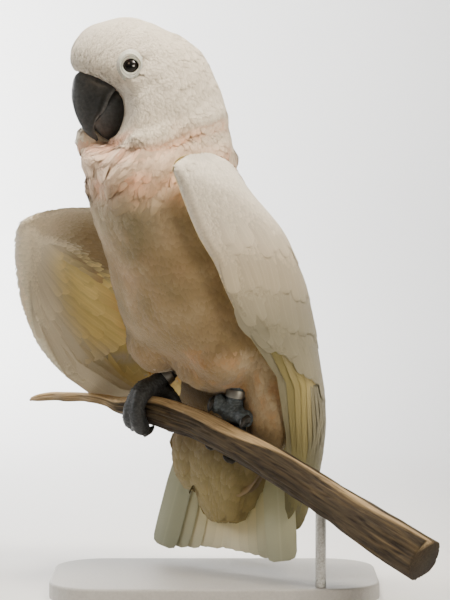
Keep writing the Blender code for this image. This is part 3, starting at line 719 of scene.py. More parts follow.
def markings(kinds, own, normal):
    """The plumage's colour at each place: white above and salmon-tinted below, with painted
    shade that makes it creamier, browner and darker towards the bottom and the nape, under the
    ruff, round the vent and in patches on the breast; peach in the creases of the neck, the
    salmon feather bases there deepened as painted shade; yellow under the wings and at the
    tail's root."""
    _, l, u = own.T
    x = head_x(own)
    front = ease(normal @ FORWARD, 0.0, 0.7)
    patch = np.clip(waves(own + 40.0, 16.0, 1.3) * 1.8, 0, 1)
    light_and_shade = waves(own + 90.0, 17.0, 1.4) * 2 * band(u, 20, 60, 140, 180) * front
    crease = np.clip(folding(own)[1], 0, 1)
    collar = is_kind(kinds, *COLLAR)
    low = is_kind(kinds, *LOW) | (u < 45)
    vent = is_kind(kinds, "rump")
    shade_under_ruff = band(u, 120, 140, 154, 172) * front * (1 - ease(x, -40, -10))
    orange_shade = np.clip(waves(own + 20.0, 10.0, 0.8) * 2.2, 0, 1)
    rim = 1 - ease(normal @ FORWARD, 0.35, 0.8)
    back = ease(-(normal @ FORWARD), 0.1, 0.7) * ease(u, -60, -20)
    colour = washed(
        WHITE,
        # painted shade: creamier below the head, and duller towards the bottom
        (CREAM, 0.8 * ease(235 - u + 15 * waves(own, 25.0), 0, 70)),
        (SHADE, ease(-u, -190, -110)),
        (SALMON, 0.2 * patch * front * band(u, 40, 90, 140, 200)),
        # painted shade: brown over the breast
        (BROWN_SHADE, 0.3 * band(u, 60, 110, 140, 190) * (1 - ease(x, -20, 60))),
        # painted patches of shade, olive, and of light, cream, over the breast
        (MOSS_SHADE, 0.5 * np.clip(light_and_shade, 0, 1)),
        (CREAM, 0.35 * np.clip(-light_and_shade, 0, 1)),
        # peach in the neck's creases: the salmon feather bases that show there, deepened as painted
        # shade
        (PEACH, 0.8 * crease * collar * ease(u, 142, 176)),
        # painted shade towards the nape
        (SHADE, 0.22 * collar * ease(x, -56, -5)),
        (SALMON, 0.34 * band(u, 150, 172, 196, 210) * collar),
        (SALMON, 0.2 * low * ease(u, 5, 40)),
        # painted shade: brown low on the body and down between the legs
        (BROWN_SHADE, 0.7 * low * (1 - ease(u, 20, 60))),
        (BROWN_SHADE, 0.55 * band(u, -10, 10, 50, 110)),
        # the flank behind the leg keeps less of that painted shade
        (CREAM, 0.45 * low * ease(l, 34, 50) * ease(u, -30, 10)),
        # painted shade round the vent
        (BROWN_SHADE, 0.3 * vent * (1 - ease(u, -40, 5))),
        (MOSS_SHADE, 0.62 * vent * (1 - ease(u, -60, 5))),
        (YELLOW, 0.15 * vent * (1 - ease(u, -75, -30))),
        # painted shade under the ruff
        (MOSS_SHADE, 0.3 * shade_under_ruff),
        # orange patches low on the belly: its salmon deepened as painted warm shade
        (ORANGE, 0.4 * low * orange_shade * ease(l, -10, 25) * ease(u, -30, 0)),
        # painted shade on the under-tail's sides
        (AMBER_SHADE, 0.7 * vent * rim * (1 - ease(u, -50, -10))),
        # the back is as white as the wings
        (blend(WHITE, CREAM, 0.5), 0.8 * back),
    )
    for name, surface in SURFACES.items():
        wing = is_kind(kinds, "wing_" + name)
        if wing.any():
            inner = (normal[wing] @ LEFT) * surface.side < -0.1
            colour[wing] = wing_tint(name, *wing_site(name, own[wing], inner))
    return colour


# ---------------------------------------------------------------- feathers
class Plumes:
    """A flock of like feathers, gathered as arrays and made one mesh at the end."""

    def __init__(self):
        self.parts = []

    def add(self, spines, normals, widths, tints, patches):
        """Along each shaft: places (n, k, 3) in world metres, the ways out (n, k, 3) and the
        colours (n, k, 3). Per feather: the width and the place on the skin's unwrap."""
        self.parts.append((spines, normals, widths, tints, patches))

    def weave(self, name, material, outline, camber, nodes=(), columns=3, rounding=0.0):
        """Every feather is a grid of columns by rows, its half-width from the outline. With a
        rounding it is lit as if it were that much rounder across, and a little unruly."""
        spines, normals, widths, tints, patches = (
            np.concatenate(part) for part in zip(*self.parts))
        count, points = spines.shape[:2]
        v = np.array([row for row, _ in outline])
        half = np.array([share for _, share in outline])
        rows = len(v)
        at = v * (points - 1)
        i = np.minimum(at.astype(int), points - 2)
        t = (at - i)[None, :, None]

        def along(values):
            return values[:, i] * (1 - t) + values[:, i + 1] * t

        if points == 3:
            # a parabola through the three places
            basis = np.stack([(1 - v) * (1 - 2 * v), 4 * v * (1 - v), v * (2 * v - 1)])
            shaft = np.einsum("rk,nrd->nkd", basis, spines)
        else:
            shaft = along(spines)
        out = unit(along(normals))
        run = unit(np.gradient(shaft, axis=1))
        side = unit(np.cross(run, out))
        u = np.linspace(-1, 1, columns)
        reach = widths[:, None, None] * half[None, :, None] * u[None, None, :] * 0.5
        drop = -(camber * widths)[:, None, None] * half[None, :, None] * u ** 2
        grid = (shaft[:, :, None, :] + side[:, :, None, :] * reach[..., None]
                + out[:, :, None, :] * drop[..., None])
        co = grid.reshape(-1, 3)
        quads = np.array([
            [k, k + 1, k + 1 + columns, k + columns]
            for k in (r * columns + c for r in range(rows - 1) for c in range(columns - 1))
        ])
        base = np.arange(count)[:, None, None] * rows * columns
        loops = (base + quads[None]).reshape(-1, 4)
        mesh = bpy.data.meshes.new(name)
        mesh.vertices.add(len(co))
        mesh.vertices.foreach_set("co", co.ravel())
        mesh.loops.add(loops.size)
        mesh.loops.foreach_set("vertex_index", loops.ravel().astype(np.int32))
        mesh.polygons.add(len(loops))
        mesh.polygons.foreach_set("loop_start", np.arange(0, loops.size, 4, dtype=np.int32))
        mesh.polygons.foreach_set("loop_total", np.full(len(loops), 4, dtype=np.int32))
        mesh.update(calc_edges=True)
        mesh.shade_smooth()
        mesh.materials.append(material)
        made = placed(name, mesh)
        paint_points(made, np.broadcast_to(along(tints)[:, :, None], grid.shape).reshape(-1, 3))
        vane = np.empty((count, rows, columns, 2))
        vane[..., 0] = u / 2 + 0.5
        vane[..., 1] = v[:, None]
        patch = (vane - 0.5) * 0.003 + patches[:, None, None, :]
        index = loops.ravel()
        for layer, values in (("vane", vane), ("OFBake", patch)):
            uv = mesh.uv_layers.new(name=layer)
            uv.data.foreach_set("uv", values.reshape(-1, 2)[index].ravel())
        if rounding:
            tilt = rng.normal(0, 0.05, (count, 1, 1, 3))
            facing = out[:, :, None, :] + side[:, :, None, :] * (rounding * u)[:, None] + tilt
            mesh.normals_split_custom_set_from_vertices(unit(facing).reshape(-1, 3))
        belongs(made, nodes)


# ---------------------------------------------------------------- the lie of the plumage
BILL_ROOT = np.array([-80.0, 0.0, 246.0])  # X, out from the middle plane, height
EYE_PLACE = (-50.4, 260.0)  # X and height
EYE_BARE = (8.0, 9.6)  # half-width and half-height of the bare skin round each eye


def lie_field(kinds, own):
    """The way the feathers point at each place, in world axes."""
    x, y, u = head_x(own), head_y(own), own[:, 2]
    down = np.tile(-UP, (len(own), 1))
    # the head: away from the bill, then turning down behind the eye and over the nape
    rel = np.stack([x - BILL_ROOT[0], y, u - BILL_ROOT[2]], axis=1)
    sink = ease(x, -72, -8)[:, None] * 1.3 + ease(BILL_ROOT[2] - u, 0, 30)[:, None] * 0.9
    from_bill = unit(unit(rel) - UP * sink)
    turning = unit(down + from_bill * 0.4 * ease(u, 190, 210)[:, None] - [0.5, 0.0, 0.0])
    # the trunk: down, parting a little to either side of the breast
    part = own[:, 1:2] / 60 * 0.22 * LEFT
    parting = unit(down + part - 0.1 * FORWARD)
    close = -own[:, 1:2] / 60 * 0.1 * LEFT + 0.12 * FORWARD
    closing = unit(down + close)
    lies = down.copy()
    for names, way in ((("head", "chin"), from_bill), (("neck",), turning),
                       (("trunk",), parting), (("rump",), closing)):
        there = is_kind(kinds, *names)
        lies[there] = way[there]
    # every tract wanders a little, so that the feathers fall in loose locks
    head = is_kind(kinds, "head", "chin")
    lock = waves(own + 70.0, 12.0, 1.0)[:, None] * 0.28 * (1 - 0.5 * head[:, None])
    return unit(lies + lock * np.cross(lies, UP + 0.3 * FORWARD))


# ---------------------------------------------------------------- coat
CROWDING = 3.5  # tries for each root there is room for
LEVEL = 1.15  # how much wider each size of cell is than the last


def scatter(mesh, kinds_at, wanted):
    """Roots spread over the skin where its kind is wanted, as far apart as grooming says:
    their places, the ways out and their kinds."""
    mesh.calc_loop_triangles()
    tris = np.empty(len(mesh.loop_triangles) * 3, dtype=np.int32)
    mesh.loop_triangles.foreach_get("vertices", tris)
    tris = tris.reshape(-1, 3)
    tris = tris[np.isin(kinds_at[tris[:, 0]], wanted)]
    co, normal = read_verts(mesh)
    a, b, c = co[tris[:, 0]], co[tris[:, 1]], co[tris[:, 2]]
    area = np.linalg.norm(np.cross(b - a, c - a), axis=1) / 2 / MM ** 2
    _, gap = grooming(kinds_at[tris[:, 0]], own_axes((a + b + c) / 3))
    weight = area / gap ** 2
    tries = int(weight.sum() * CROWDING)
    pick = rng.choice(len(tris), tries, p=weight / weight.sum())
    r1 = np.sqrt(rng.random(tries))[:, None]
    r2 = rng.random(tries)[:, None]
    shares = (1 - r1, r1 * (1 - r2), r1 * r2)
    place = sum(co[tris[pick, k]] * share for k, share in enumerate(shares))
    out = unit(sum(normal[tris[pick, k]] * share for k, share in enumerate(shares)))
    kinds = kinds_at[tris[pick, 0]]
    first = thinned(place / MM, grooming(kinds, own_axes(place))[1])
    return place[first], out[first], kinds[first]


def thinned(place, gap):
    """One of all the places in each cell of about the gap's size."""
    level = np.round(np.log(gap) / np.log(LEVEL))
    cell = np.floor(place / (LEVEL ** level)[:, None])
    _, first = np.unique(np.concatenate([cell, level[:, None]], axis=1), axis=0,
                         return_index=True)
    return first


ROOT_SUNK = -0.4  # how far over the skin a root is, so under it
BRIDGING = 0.12  # share of a hollow's depth that a shaft stays over it


def walk(tree, place, out, lie, length, height, loose=False):
    """Shafts that follow the skin from their roots: places and normals at each step. Height
    is over the skin at each step, in millimetres. A shaft bridges hollows a little, and a
    loose one that reaches the skin's end runs on."""
    count, points = height.shape
    spines = np.empty((count, points, 3))
    normals = np.empty((count, points, 3))
    at = place.copy()
    way = unit(lie - out * np.sum(lie * out, axis=1, keepdims=True))
    normal = out.copy()
    reach = (length * MM / (points - 1))[:, None]
    spines[:, 0] = at + normal * (height[:, :1] * MM)
    normals[:, 0] = normal
    for k in range(1, points):
        ahead = at + way * reach
        near = [tree.find_nearest(Vector(p)) for p in ahead]
        hits = np.array([hit for hit, _, _, _ in near])
        facing = np.array([out_of_face for _, out_of_face, _, _ in near])
        drop = np.sum((ahead - hits) * normal, axis=1, keepdims=True)
        past = np.linalg.norm(ahead - hits, axis=1, keepdims=True) > 0.7 * reach
        past &= np.reshape(loose, (-1, 1))
        settled = hits + normal * np.maximum(drop, 0) * BRIDGING
        ahead = np.where(past, ahead, settled)
        facing = np.where(past, normal, facing)
        step = ahead - at
        normal = unit(facing * 0.7 + normals[:, k - 1] * 0.3)
        way = unit(step - normal * np.sum(step * normal, axis=1, keepdims=True))
        at = ahead
        spines[:, k] = at + normal * (height[:, k:k + 1] * MM)
        normals[:, k] = normal
    return spines, normals


UNWRAP_LOW = -110  # the height that the unwrap starts from, and how much it covers
UNWRAP_TALL = 420


def unwrap(kinds, own):
    """The place of each root on an unwrap of the skin, rolled flat round the body's axis."""
    body = is_kind(kinds, "trunk", "rump", "thigh_left", "thigh_right")
    round_head = np.arctan2(head_y(own), head_x(own) + 40)
    round_body = np.arctan2(own[:, 1], own[:, 0])
    across = np.where(body, round_body, round_head) / (2 * math.pi) + 0.5
    return np.clip(np.stack([across * 0.5, (own[:, 2] - UNWRAP_LOW) / UNWRAP_TALL], axis=1), 0.01, 0.99)


def wing_unwrap(s, w, side):
    """The place of each root on an unwrap of a wing's two faces, beside the body's."""
    across = 0.52 + 0.22 * (side < 0) + 0.1 * (w + 1)
    return np.clip(np.stack([across, s / 2], axis=1), 0.01, 0.99)


# Rows of a feather's outline: how far along it, and the share of its full width.
SOFT = [(0.0, 0.35), (0.35, 0.9), (0.7, 0.95), (0.9, 0.6), (1.0, 0.1)]
ROUND = [(0.0, 0.3), (0.3, 0.85), (0.6, 1.0), (0.82, 0.92), (0.94, 0.66), (1.0, 0.2)]
LONG = [(0.0, 0.25), (0.12, 0.6), (0.3, 0.9), (0.5, 1.0), (0.7, 1.0), (0.85, 0.97),
        (0.94, 0.84), (0.985, 0.5), (1.0, 0.15)]
SQUARE = [(0.0, 0.25), (0.15, 0.6), (0.35, 0.85), (0.6, 1.0), (0.85, 1.0), (0.95, 0.96),
          (0.985, 0.84), (1.0, 0.5)]

TAIL_ROOT = (-45.0, 12.0)  # F and height where the feathers' shafts meet
TAIL_TIP = (-23.0, -119.0)
TAIL_SLOPE = (TAIL_TIP[0] - TAIL_ROOT[0]) / (TAIL_TIP[1] - TAIL_ROOT[1])


# How long the contour feathers are, in millimetres.
FEATHER = 18.0
FEATHER_ON = {"chin": 9.0, "neck": 21.0, "thigh_left": 14.0, "thigh_right": 14.0}


def grooming(kinds, own):
    """Length of the feathers and the gap between their roots, in millimetres."""
    length = np.array([FEATHER_ON.get(name, FEATHER) for name in FLESH])[kinds]
    on_head = 4.2 + 8.0 * ease(head_x(own), -66, -10)
    on_rump = 9 + 19 * band(own[:, 2], -86, -58, -45, 0)
    length = np.where(is_kind(kinds, "head"), on_head, length)
    length = np.where(is_kind(kinds, "rump"), on_rump, length)
    gap = np.clip(length * 0.17, 1.26, 2.9)
    return length, np.where(is_kind(kinds, "neck"), 2.1, gap)


def hidden_by_tail(kinds, own, out):
    """Which places under the tail are left bare: its thin edges and tip, which the flat
    sides' feathers cover, and the rear side that lies against the tail."""
    facing = out @ FORWARD
    tail_at = TAIL_ROOT[0] + (own[:, 2] - TAIL_ROOT[1]) * TAIL_SLOPE
    hidden = (np.abs(facing) < 0.5) | ((facing < 0) & (own[:, 0] > tail_at - 2))
    hidden |= own[:, 2] < -80
    return is_kind(kinds, "rump") & (own[:, 2] < -25) & hidden


def body_coat(name, *nodes):
    """Contour feathers over the skin of these nodes."""
    place, out, kinds = scatter(skin.data, skin_kinds, [FLESH.index(node) for node in nodes])
    own = own_axes(place)
    keep = clear_of_face(place, own) & ~hidden_by_tail(kinds, own, out)
    place, out, kinds, own = (values[keep] for values in (place, out, kinds, own))
    fine = is_kind(kinds, "head", "neck")
    rump = is_kind(kinds, "rump")
    n = len(place)
    length = grooming(kinds, own)[0] * rng.uniform(0.75, 1.25, n)
    width = length * rng.uniform(0.4, 0.55, n) * (1 - 0.35 * is_kind(kinds, "neck"))
    lie = lie_field(kinds, own)
    lie = unit(lie + np.cross(out, lie) * rng.normal(0, 0.10, n)[:, None])
    depth = coat_depth(kinds, own)
    fold = 0.5 * waves(own, 8.0) * (1 - 0.6 * is_kind(kinds, "head"))
    tip = depth * rng.uniform(np.where(fine, 0.93, 0.82), 1.02, n) + fold
    height = np.stack([np.full(n, ROOT_SUNK), depth * 0.8 + 0.8 * fold, tip], axis=1)
    loose = is_kind(kinds, "chin") | (rump & (own[:, 1] > -32))
    spines, normals = walk(skin_tree, place, out, lie, length, height, loose)
    # the under-tail's feathers lie flat to the tail, whichever way its skin curves
    flat = rump * ease(-own[:, 2], 5, 30)
    faces = FORWARD * (np.sign(out @ FORWARD) * flat * 3)[:, None]
    normals = unit(normals + faces[:, None, :])
    shade = rng.uniform(0.975, 1.02, n)[:, None]
    roots, tips, ends = (markings(kinds, own_axes(spines[:, k]), out) * shade for k in range(3))
    # painted shade and light: below the head each feather is darker where the next one covers
    # it and paler at its tip, so that its edge shows
    edge = np.where(fine, 0.0, 0.09)[:, None]
    tints = np.stack([blend(roots, SALMON, 0.12), tips * (1 - edge), ends * (1 + 0.6 * edge)],
                     axis=1)
    clear = off_the_eyes(spines)
    plumes = Plumes()
    plumes.add(*(values[clear] for values in (spines, normals, width * MM, tints,
                                              unwrap(kinds, own))))
    plumes.weave(name, soft, SOFT, np.where(fine, 0.05, 0.10)[clear], rounding=0.28)


HEAD_MIDDLE = 12  # half-width of the head's middle, where no eye reaches
SOCKET_CLEAR = 9.4  # from an eyeball's middle to the nearest roots
BILL_CLEAR = 0.6  # from the bill to the nearest roots


def off_the_eyes(spines):
    """Which feathers neither grow in an eye's socket nor lie over its bare ring."""
    clear = np.ones(len(spines), dtype=bool)
    for k in range(spines.shape[1]):
        own = own_axes(spines[:, k])
        dx = (head_x(own) - EYE_PLACE[0]) / EYE_BARE[0]
        du = (own[:, 2] - EYE_PLACE[1]) / EYE_BARE[1]
        clear &= (dx ** 2 + du ** 2 > 1) | (np.abs(head_y(own)) < HEAD_MIDDLE)
    return clear


def clear_of_face(place, own):
    """Which feathers start neither in an eye's socket nor in the bill's bed."""
    x, y, u = head_x(own), head_y(own), own[:, 2]
    along = np.hypot(x - EYE_PLACE[0], u - EYE_PLACE[1])
    keep = np.hypot(along, np.abs(y) - EYE_OUT) > SOCKET_CLEAR
    for bill in BILL_TREES:
        for i in np.nonzero(keep & (x < -50) & (u > 200))[0]:
            hit, face_normal, _, away = bill.find_nearest(Vector(place[i]))
            inside = (Vector(place[i]) - hit).dot(face_normal) < 0
            keep[i] = not (inside or away < BILL_CLEAR * MM)
    return keep


# ---------------------------------------------------------------- wings' feathers
def wing_coverts(name):
    """Small coverts over both faces of an arm and round its front edge."""
    surface = SURFACES[name]
    tries = 70000  # far more than there is room for
    s = rng.uniform(0.0, 1.0, tries)
    w = rng.uniform(-1.0, 1.0, tries)
    t = from_edge(w)
    length = 8.0 + 15.0 * ease(s, 0.1, 0.65) * ease(t, 0.0, 0.3)
    if name == "right":
        # the fan of long coverts lies bare below the crease
        fan = (w < 0) & (t > 0.22) & (t - np.interp(s, *FOREARM) < -0.04)
        s, w, t, length = (part[~fan] for part in (s, w, t, length))
    first = thinned(surface.shell(s, w), length * 0.187)
    s, w, t, length = (part[first] for part in (s, w, t, length))
    n = len(s)
    inner = w < 0
    length = length * rng.uniform(0.8, 1.2, n)
    turn = np.full(n, 0.14)
    if name == "right":
        # the long under-coverts spread from the wrist like a fan
        fan = np.interp(s, [0, 0.3, 0.5, 0.7, 0.85, 1.0], [1.3, 1.25, 0.95, 0.5, 0.2, 0.1])
        turn = np.where(inner, fan * ease(t, 0.0, 0.2), turn)
    turn = turn + rng.normal(0, 0.09, n)
    puff = 0.4 * noisy(7 * s, 5 * w, 3.0)
    past = t - np.interp(s, *FOREARM)
    roll = 1.6 * inner * (name == "right") * band(past, -0.02, 0.04, 0.1, 0.5) * (s < 0.6)
    base = -0.3 + puff + roll
    tips = base + rng.uniform(-0.2, 0.25, n)
    if name == "right":
        # some stand a little off the front edge and off the arm's end
        tips += 1.5 * (np.abs(w) < 1.6 * EDGE) * (rng.random(n) < 0.3)
    height = np.stack([np.full(n, -2.2), base - 0.2, tips], axis=1)
    spines, normals, sites = surface.lay(s, w, length, turn, height, bend=0.25)
    tints = wing_tint(name, sites[:, :, 0].ravel(), np.repeat(w, 3)).reshape(n, 3, 3)
    tints = tints * rng.uniform(0.95, 1.03, n)[:, None, None]
    # painted shade: each covert darker towards its root, under the next one, and paler at its tip
    tints = tints * np.array([0.9, 0.95, 1.04])[:, None]
    plumes = Plumes()
    plumes.add(in_world(spines), to_world(normals), length * 0.5 * MM, tints,
               wing_unwrap(s, w, surface.side))
    plumes.weave("coverts_wing_" + name, soft, ROUND, 0.09, rounding=0.3)


# The rows of long coverts: for each, the face it lies on, 1 outer or -1 inner; the places
# (s, t) of the roots and of the tips, first feather to last; then how many there are, the
# width in millimetres and the rise of the tips.
LONG_COVERTS = {
    "left": [
        (1, [(0.26, 0.05, 0.50, 0.03), (0.27, 0.5, 0.54, 0.5), (0.28, 0.95, 0.58, 0.97)], 13,
         13.0, 0.6),
        (1, [(0.42, 0.04, 0.70, 0.02), (0.44, 0.4, 0.75, 0.38), (0.48, 0.95, 0.82, 0.97)], 13,
         14.0, 0.6),
        (1, [(0.56, 0.03, 0.86, 0.02), (0.60, 0.35, 0.92, 0.32), (0.66, 0.7, 1.0, 0.68),
             (0.7, 0.97, 1.04, 0.98)], 13, 15.0, 0.7),
        (1, [(0.70, 0.02, 1.0, 0.0), (0.72, 0.12, 1.035, 0.09), (0.74, 0.4, 1.19, 0.38),
             (0.8, 0.7, 1.27, 0.66), (0.84, 0.97, 1.3, 0.97)], 13, 16.0, 0.2),
        (-1, [(0.6, 0.12, 1.0, 0.12), (0.7, 0.5, 1.2, 0.5), (0.8, 0.85, 1.15, 0.88)], 14, 16.0,
         0.2),
    ],
    "right": [
        (1, [(0.6, 0.12, 1.0, 0.14), (0.68, 0.5, 1.15, 0.5), (0.75, 0.97, 1.2, 0.97)], 14,
         18.0, 0.3),
        (-1, [(0.28, 0.10, 0.50, 0.60), (0.33, 0.12, 0.60, 0.68), (0.38, 0.12, 0.70, 0.68),
              (0.43, 0.12, 0.79, 0.58), (0.48, 0.11, 0.86, 0.42), (0.52, 0.10, 0.90, 0.24),
              (0.56, 0.06, 0.86, 0.10), (0.58, 0.02, 0.79, 0.02)], 17, 17.0, 0.4),
        (-1, [(0.27, 0.08, 0.46, 0.52), (0.34, 0.10, 0.56, 0.56), (0.40, 0.10, 0.66, 0.52),
              (0.46, 0.08, 0.75, 0.40), (0.50, 0.04, 0.80, 0.20), (0.52, 0.0, 0.77, 0.02)], 15,
         15.0, 0.9),
        (-1, [(0.25, 0.06, 0.42, 0.34), (0.32, 0.08, 0.49, 0.36), (0.38, 0.07, 0.57, 0.33),
              (0.43, 0.05, 0.64, 0.22), (0.46, 0.02, 0.67, 0.09), (0.48, 0.0, 0.66, 0.0)], 15,
         11.0, 1.4),
    ],
}


def long_coverts(name):
    """Rows of long coverts that run on over the roots of the quills."""
    surface = SURFACES[name]
    plumes = Plumes()
    v = np.linspace(0, 1, 6)
    for face, line, count, width, rise in LONG_COVERTS[name]:
        rows = smooth_row(line, count)
        rows[:, 2:] += rng.normal(0, 0.02, (count, 2))
        s = rows[:, :1] + (rows[:, 2:3] - rows[:, :1]) * v
        t = rows[:, 1:2] + (rows[:, 3:4] - rows[:, 1:2]) * v
        w = on_face(t, face)
        lift = rise * v ** 0.7 - 0.9 * (1 - v) + np.linspace(-0.15, 0.15, count)[:, None]
        places = surface.shell(s.ravel(), w.ravel(), lift.ravel())
        _, _, outs = surface.ways(s.ravel(), w.ravel())
        tints = wing_tint(name, s.ravel(), w.ravel())
        places, outs, tints = (part.reshape(count, len(v), 3) for part in (places, outs, tints))
        tints = tints * rng.uniform(0.96, 1.03, count)[:, None, None]
        # painted shade: each covert darker towards its root, under the next one, and paler at its tip
        tints = tints * np.interp(v, [0, 0.6, 1], [0.85, 0.93, 1.05])[:, None]
        plumes.add(in_world(places), to_world(outs), np.full(count, width * MM), tints,
                   wing_unwrap(s[:, 0], w[:, 0], surface.side))
    plumes.weave("long_coverts_wing_" + name, stiff, LONG, 0.07, columns=5)


QUILL_ROOT = 0.5  # the s that the quills start from, under the coverts
QUILLS = {"left": (13, 14.0), "right": (14, 18.0)}  # how many, and each one's width
# The quills' tips from the front edge to the rear, as s and t.
QUILL_TIPS = {
    "left": [(1.88, 0.0), (1.96, 0.14), (1.99, 0.3), (1.94, 0.46), (1.85, 0.56), (1.75, 0.64),
             (1.64, 0.72), (1.54, 0.82), (1.38, 0.92), (1.2, 0.97)],
    "right": [(2.0, 0.1), (1.95, 0.35), (1.8, 0.25), (1.62, 0.2), (1.45, 0.3), (1.32, 0.42),
              (1.22, 0.55), (1.16, 0.7), (1.1, 0.85), (1.06, 0.97)],
}


def flight_feathers(name):
    """Primaries and secondaries, each one long vane from the arm to its tip, laid once for
    the outer face's markings and once for the inner face's."""
    surface = SURFACES[name]
    plumes = Plumes()
    count, width = QUILLS[name]
    v = np.linspace(0, 1, 15)
    grid = (count, len(v), 3)
    share = np.linspace(0, 1, count)[:, None]  # 0 at the front edge, 1 at the rear
    tips = smooth_row(QUILL_TIPS[name], count)
    s = QUILL_ROOT * (1 - v) + tips[:, :1] * v
    t = (0.02 + 0.92 * share) * (1 - v) + tips[:, 1:] * v
    mid, _, out, half = surface.section(s.ravel(), t.ravel())
    layer = np.repeat((share - 0.5) * 1.3, len(v), axis=1).ravel()[:, None]
    for face in (-1, 1):
        places = mid + out * (half * layer + face * 0.22)
        w = on_face(t, face)
        tints = wing_tint(name, s.ravel(), w.ravel(), quills=True).reshape(grid)
        tints = tints * rng.uniform(0.95, 1.03, count)[:, None, None]
        plumes.add(in_world(places.reshape(grid)), to_world((out * face).reshape(grid)),
                   np.full(count, width * MM), tints,
                   wing_unwrap(s[:, 0], w[:, 0], surface.side))
    camber = 0.06 * np.repeat([-1, 1], count)
    plumes.weave("quills_wing_" + name, stiff, LONG, camber,
                 ["wing_" + name + "_primaries"], columns=5)


# ---------------------------------------------------------------- tail
TAIL_FEATHERS = 12
TAIL_SPREAD = math.radians(25)
TAIL_ROOT_HALF = 38.0
TAIL_WIDTH = 29  # of each feather
TAIL_CREAM = linear("E6DFBF")
TAIL_SIDE = linear("A3A588")
TAIL_SHADE = linear("6F735C")


def tail_feathers():
    """The fan from below: the outer feathers lie nearest, over the middle ones."""
    down = np.array([TAIL_TIP[0] - TAIL_ROOT[0], TAIL_TIP[1] - TAIL_ROOT[1]])
    length = np.linalg.norm(down)
    down /= length
    back = np.array([down[1], -down[0]])
    plumes = Plumes()
    along = 0.05 + 0.95 * np.linspace(0, 1, 13)
    for k in range(TAIL_FEATHERS):
        off = 2 * (k + 0.5) / TAIL_FEATHERS - 1
        angle = TAIL_SPREAD * off / 2
        reach = length * (0.945 + 0.05 * off ** 2) + rng.uniform(-0.8, 0.8)
        away = TAIL_ROOT_HALF * off + reach * along * math.sin(angle)
        fall = reach * along * (0.55 + 0.45 * math.cos(angle))
        bow = 6.0 * (1 - off ** 2) * along + 1.9 * (1 - abs(off))
        f = TAIL_ROOT[0] + down[0] * fall + back[0] * bow
        u = TAIL_ROOT[1] + down[1] * fall + back[1] * bow
        places = in_world(np.stack([f, away, u], axis=1))
        # the outer vane turns a little away, so that every feather's edge shows
        facing = -(back[0] * FORWARD + back[1] * UP) + 0.08 * off * LEFT
        # painted shade: brown at the root, under the coverts, and darker on the bird's right side of
        # the fan
        tone_and_shade = washed(
            TAIL_CREAM,
            (YELLOW, 0.95 * (1 - ease(along, 0.65, 1.0))),
            (TAIL_SIDE, 0.9 * ease(abs(off), 0.2, 1.0)),
            (TAIL_SHADE, 0.6 * ease(-off, 0.5, 1.0)),
            (BROWN_SHADE, 0.4 * (1 - ease(along, 0.3, 0.6))),
        )
        plumes.add(places[None], np.tile(unit(facing), (1, len(along), 1)),
                   np.array([TAIL_WIDTH * MM]), tone_and_shade[None] * rng.uniform(0.95, 1.02),
                   np.array([[(off + 1) / 2, 0.5]]))
    plumes.weave("tail_feathers", stiff, SQUARE, 0.05, ["tail"], columns=5)


# ---------------------------------------------------------------- crest
def crest():
    """The long feathers of the folded crest, from the forehead back over the crown."""
    plumes = Plumes()
    kind = np.array([FLESH.index("head")])
    v = np.linspace(0, 1, 8)
    for ahead in np.arange(10) / 9:
        for k in range(-2, 3):
            y = k * (3.6 + 1.6 * ahead) + rng.normal(0, 0.7)
            x = -82 + 34 * ahead + rng.normal(0, 1.0)
            above = Vector(head_place(x, y, 330))
            hit, out, _, _ = skin_tree.ray_cast(above, Vector((0, 0, -1)))
            own = own_axes(np.array([hit]))
            length = np.array([44 + 24 * ahead - 3 * abs(k)]) * rng.uniform(0.9, 1.1)
            cover = coat_depth(kind, own) + 1.2 * v
            lift = np.where(v < 0.2, ROOT_SUNK, cover * (0.6 + 0.4 * v))
            lie = np.array([[1.0, -0.05 * k, 0.2]])
            spines, normals = walk(skin_tree, np.array([hit]), np.array([out]), unit(lie), length,
                                   lift[None])
            tint = np.array(WHITE) * rng.uniform(0.97, 1.02)
            plumes.add(spines, normals, np.array([9.5 * MM]), np.tile(tint, (1, len(v), 1)),
                       unwrap(kind, own))
    plumes.weave("crest", soft, LONG, 0.08, columns=5, rounding=0.3)


# ---------------------------------------------------------------- bare skin round the eyes
EYE_RADIUS = 7.6
IRIS = linear("120B07")
PUPIL = linear("040404")
RING_PALE = linear("C4C2B6")
RING_SHADE = linear("4A4744")
EYE_OUT = 28.6  # from the head's middle plane to the eyeball's middle
# The lids and the bare ring, from under the lids' edge out: half-width, half-height, and
# how far out from the eyeball's middle.
EYE_RING = [
    (4.9, 4.4, 5.2), (5.4, 4.9, 5.9), (5.8, 5.4, 6.7), (6.2, 6.1, 7.15), (6.6, 6.8, 6.95),
    (6.9, 7.3, 6.85), (7.2, 7.9, 7.2), (7.5, 8.6, 7.1), (8.0, 9.4, 6.6), (9.0, 10.8, 5.5),
    (10.4, 12.4, 4.0),
]


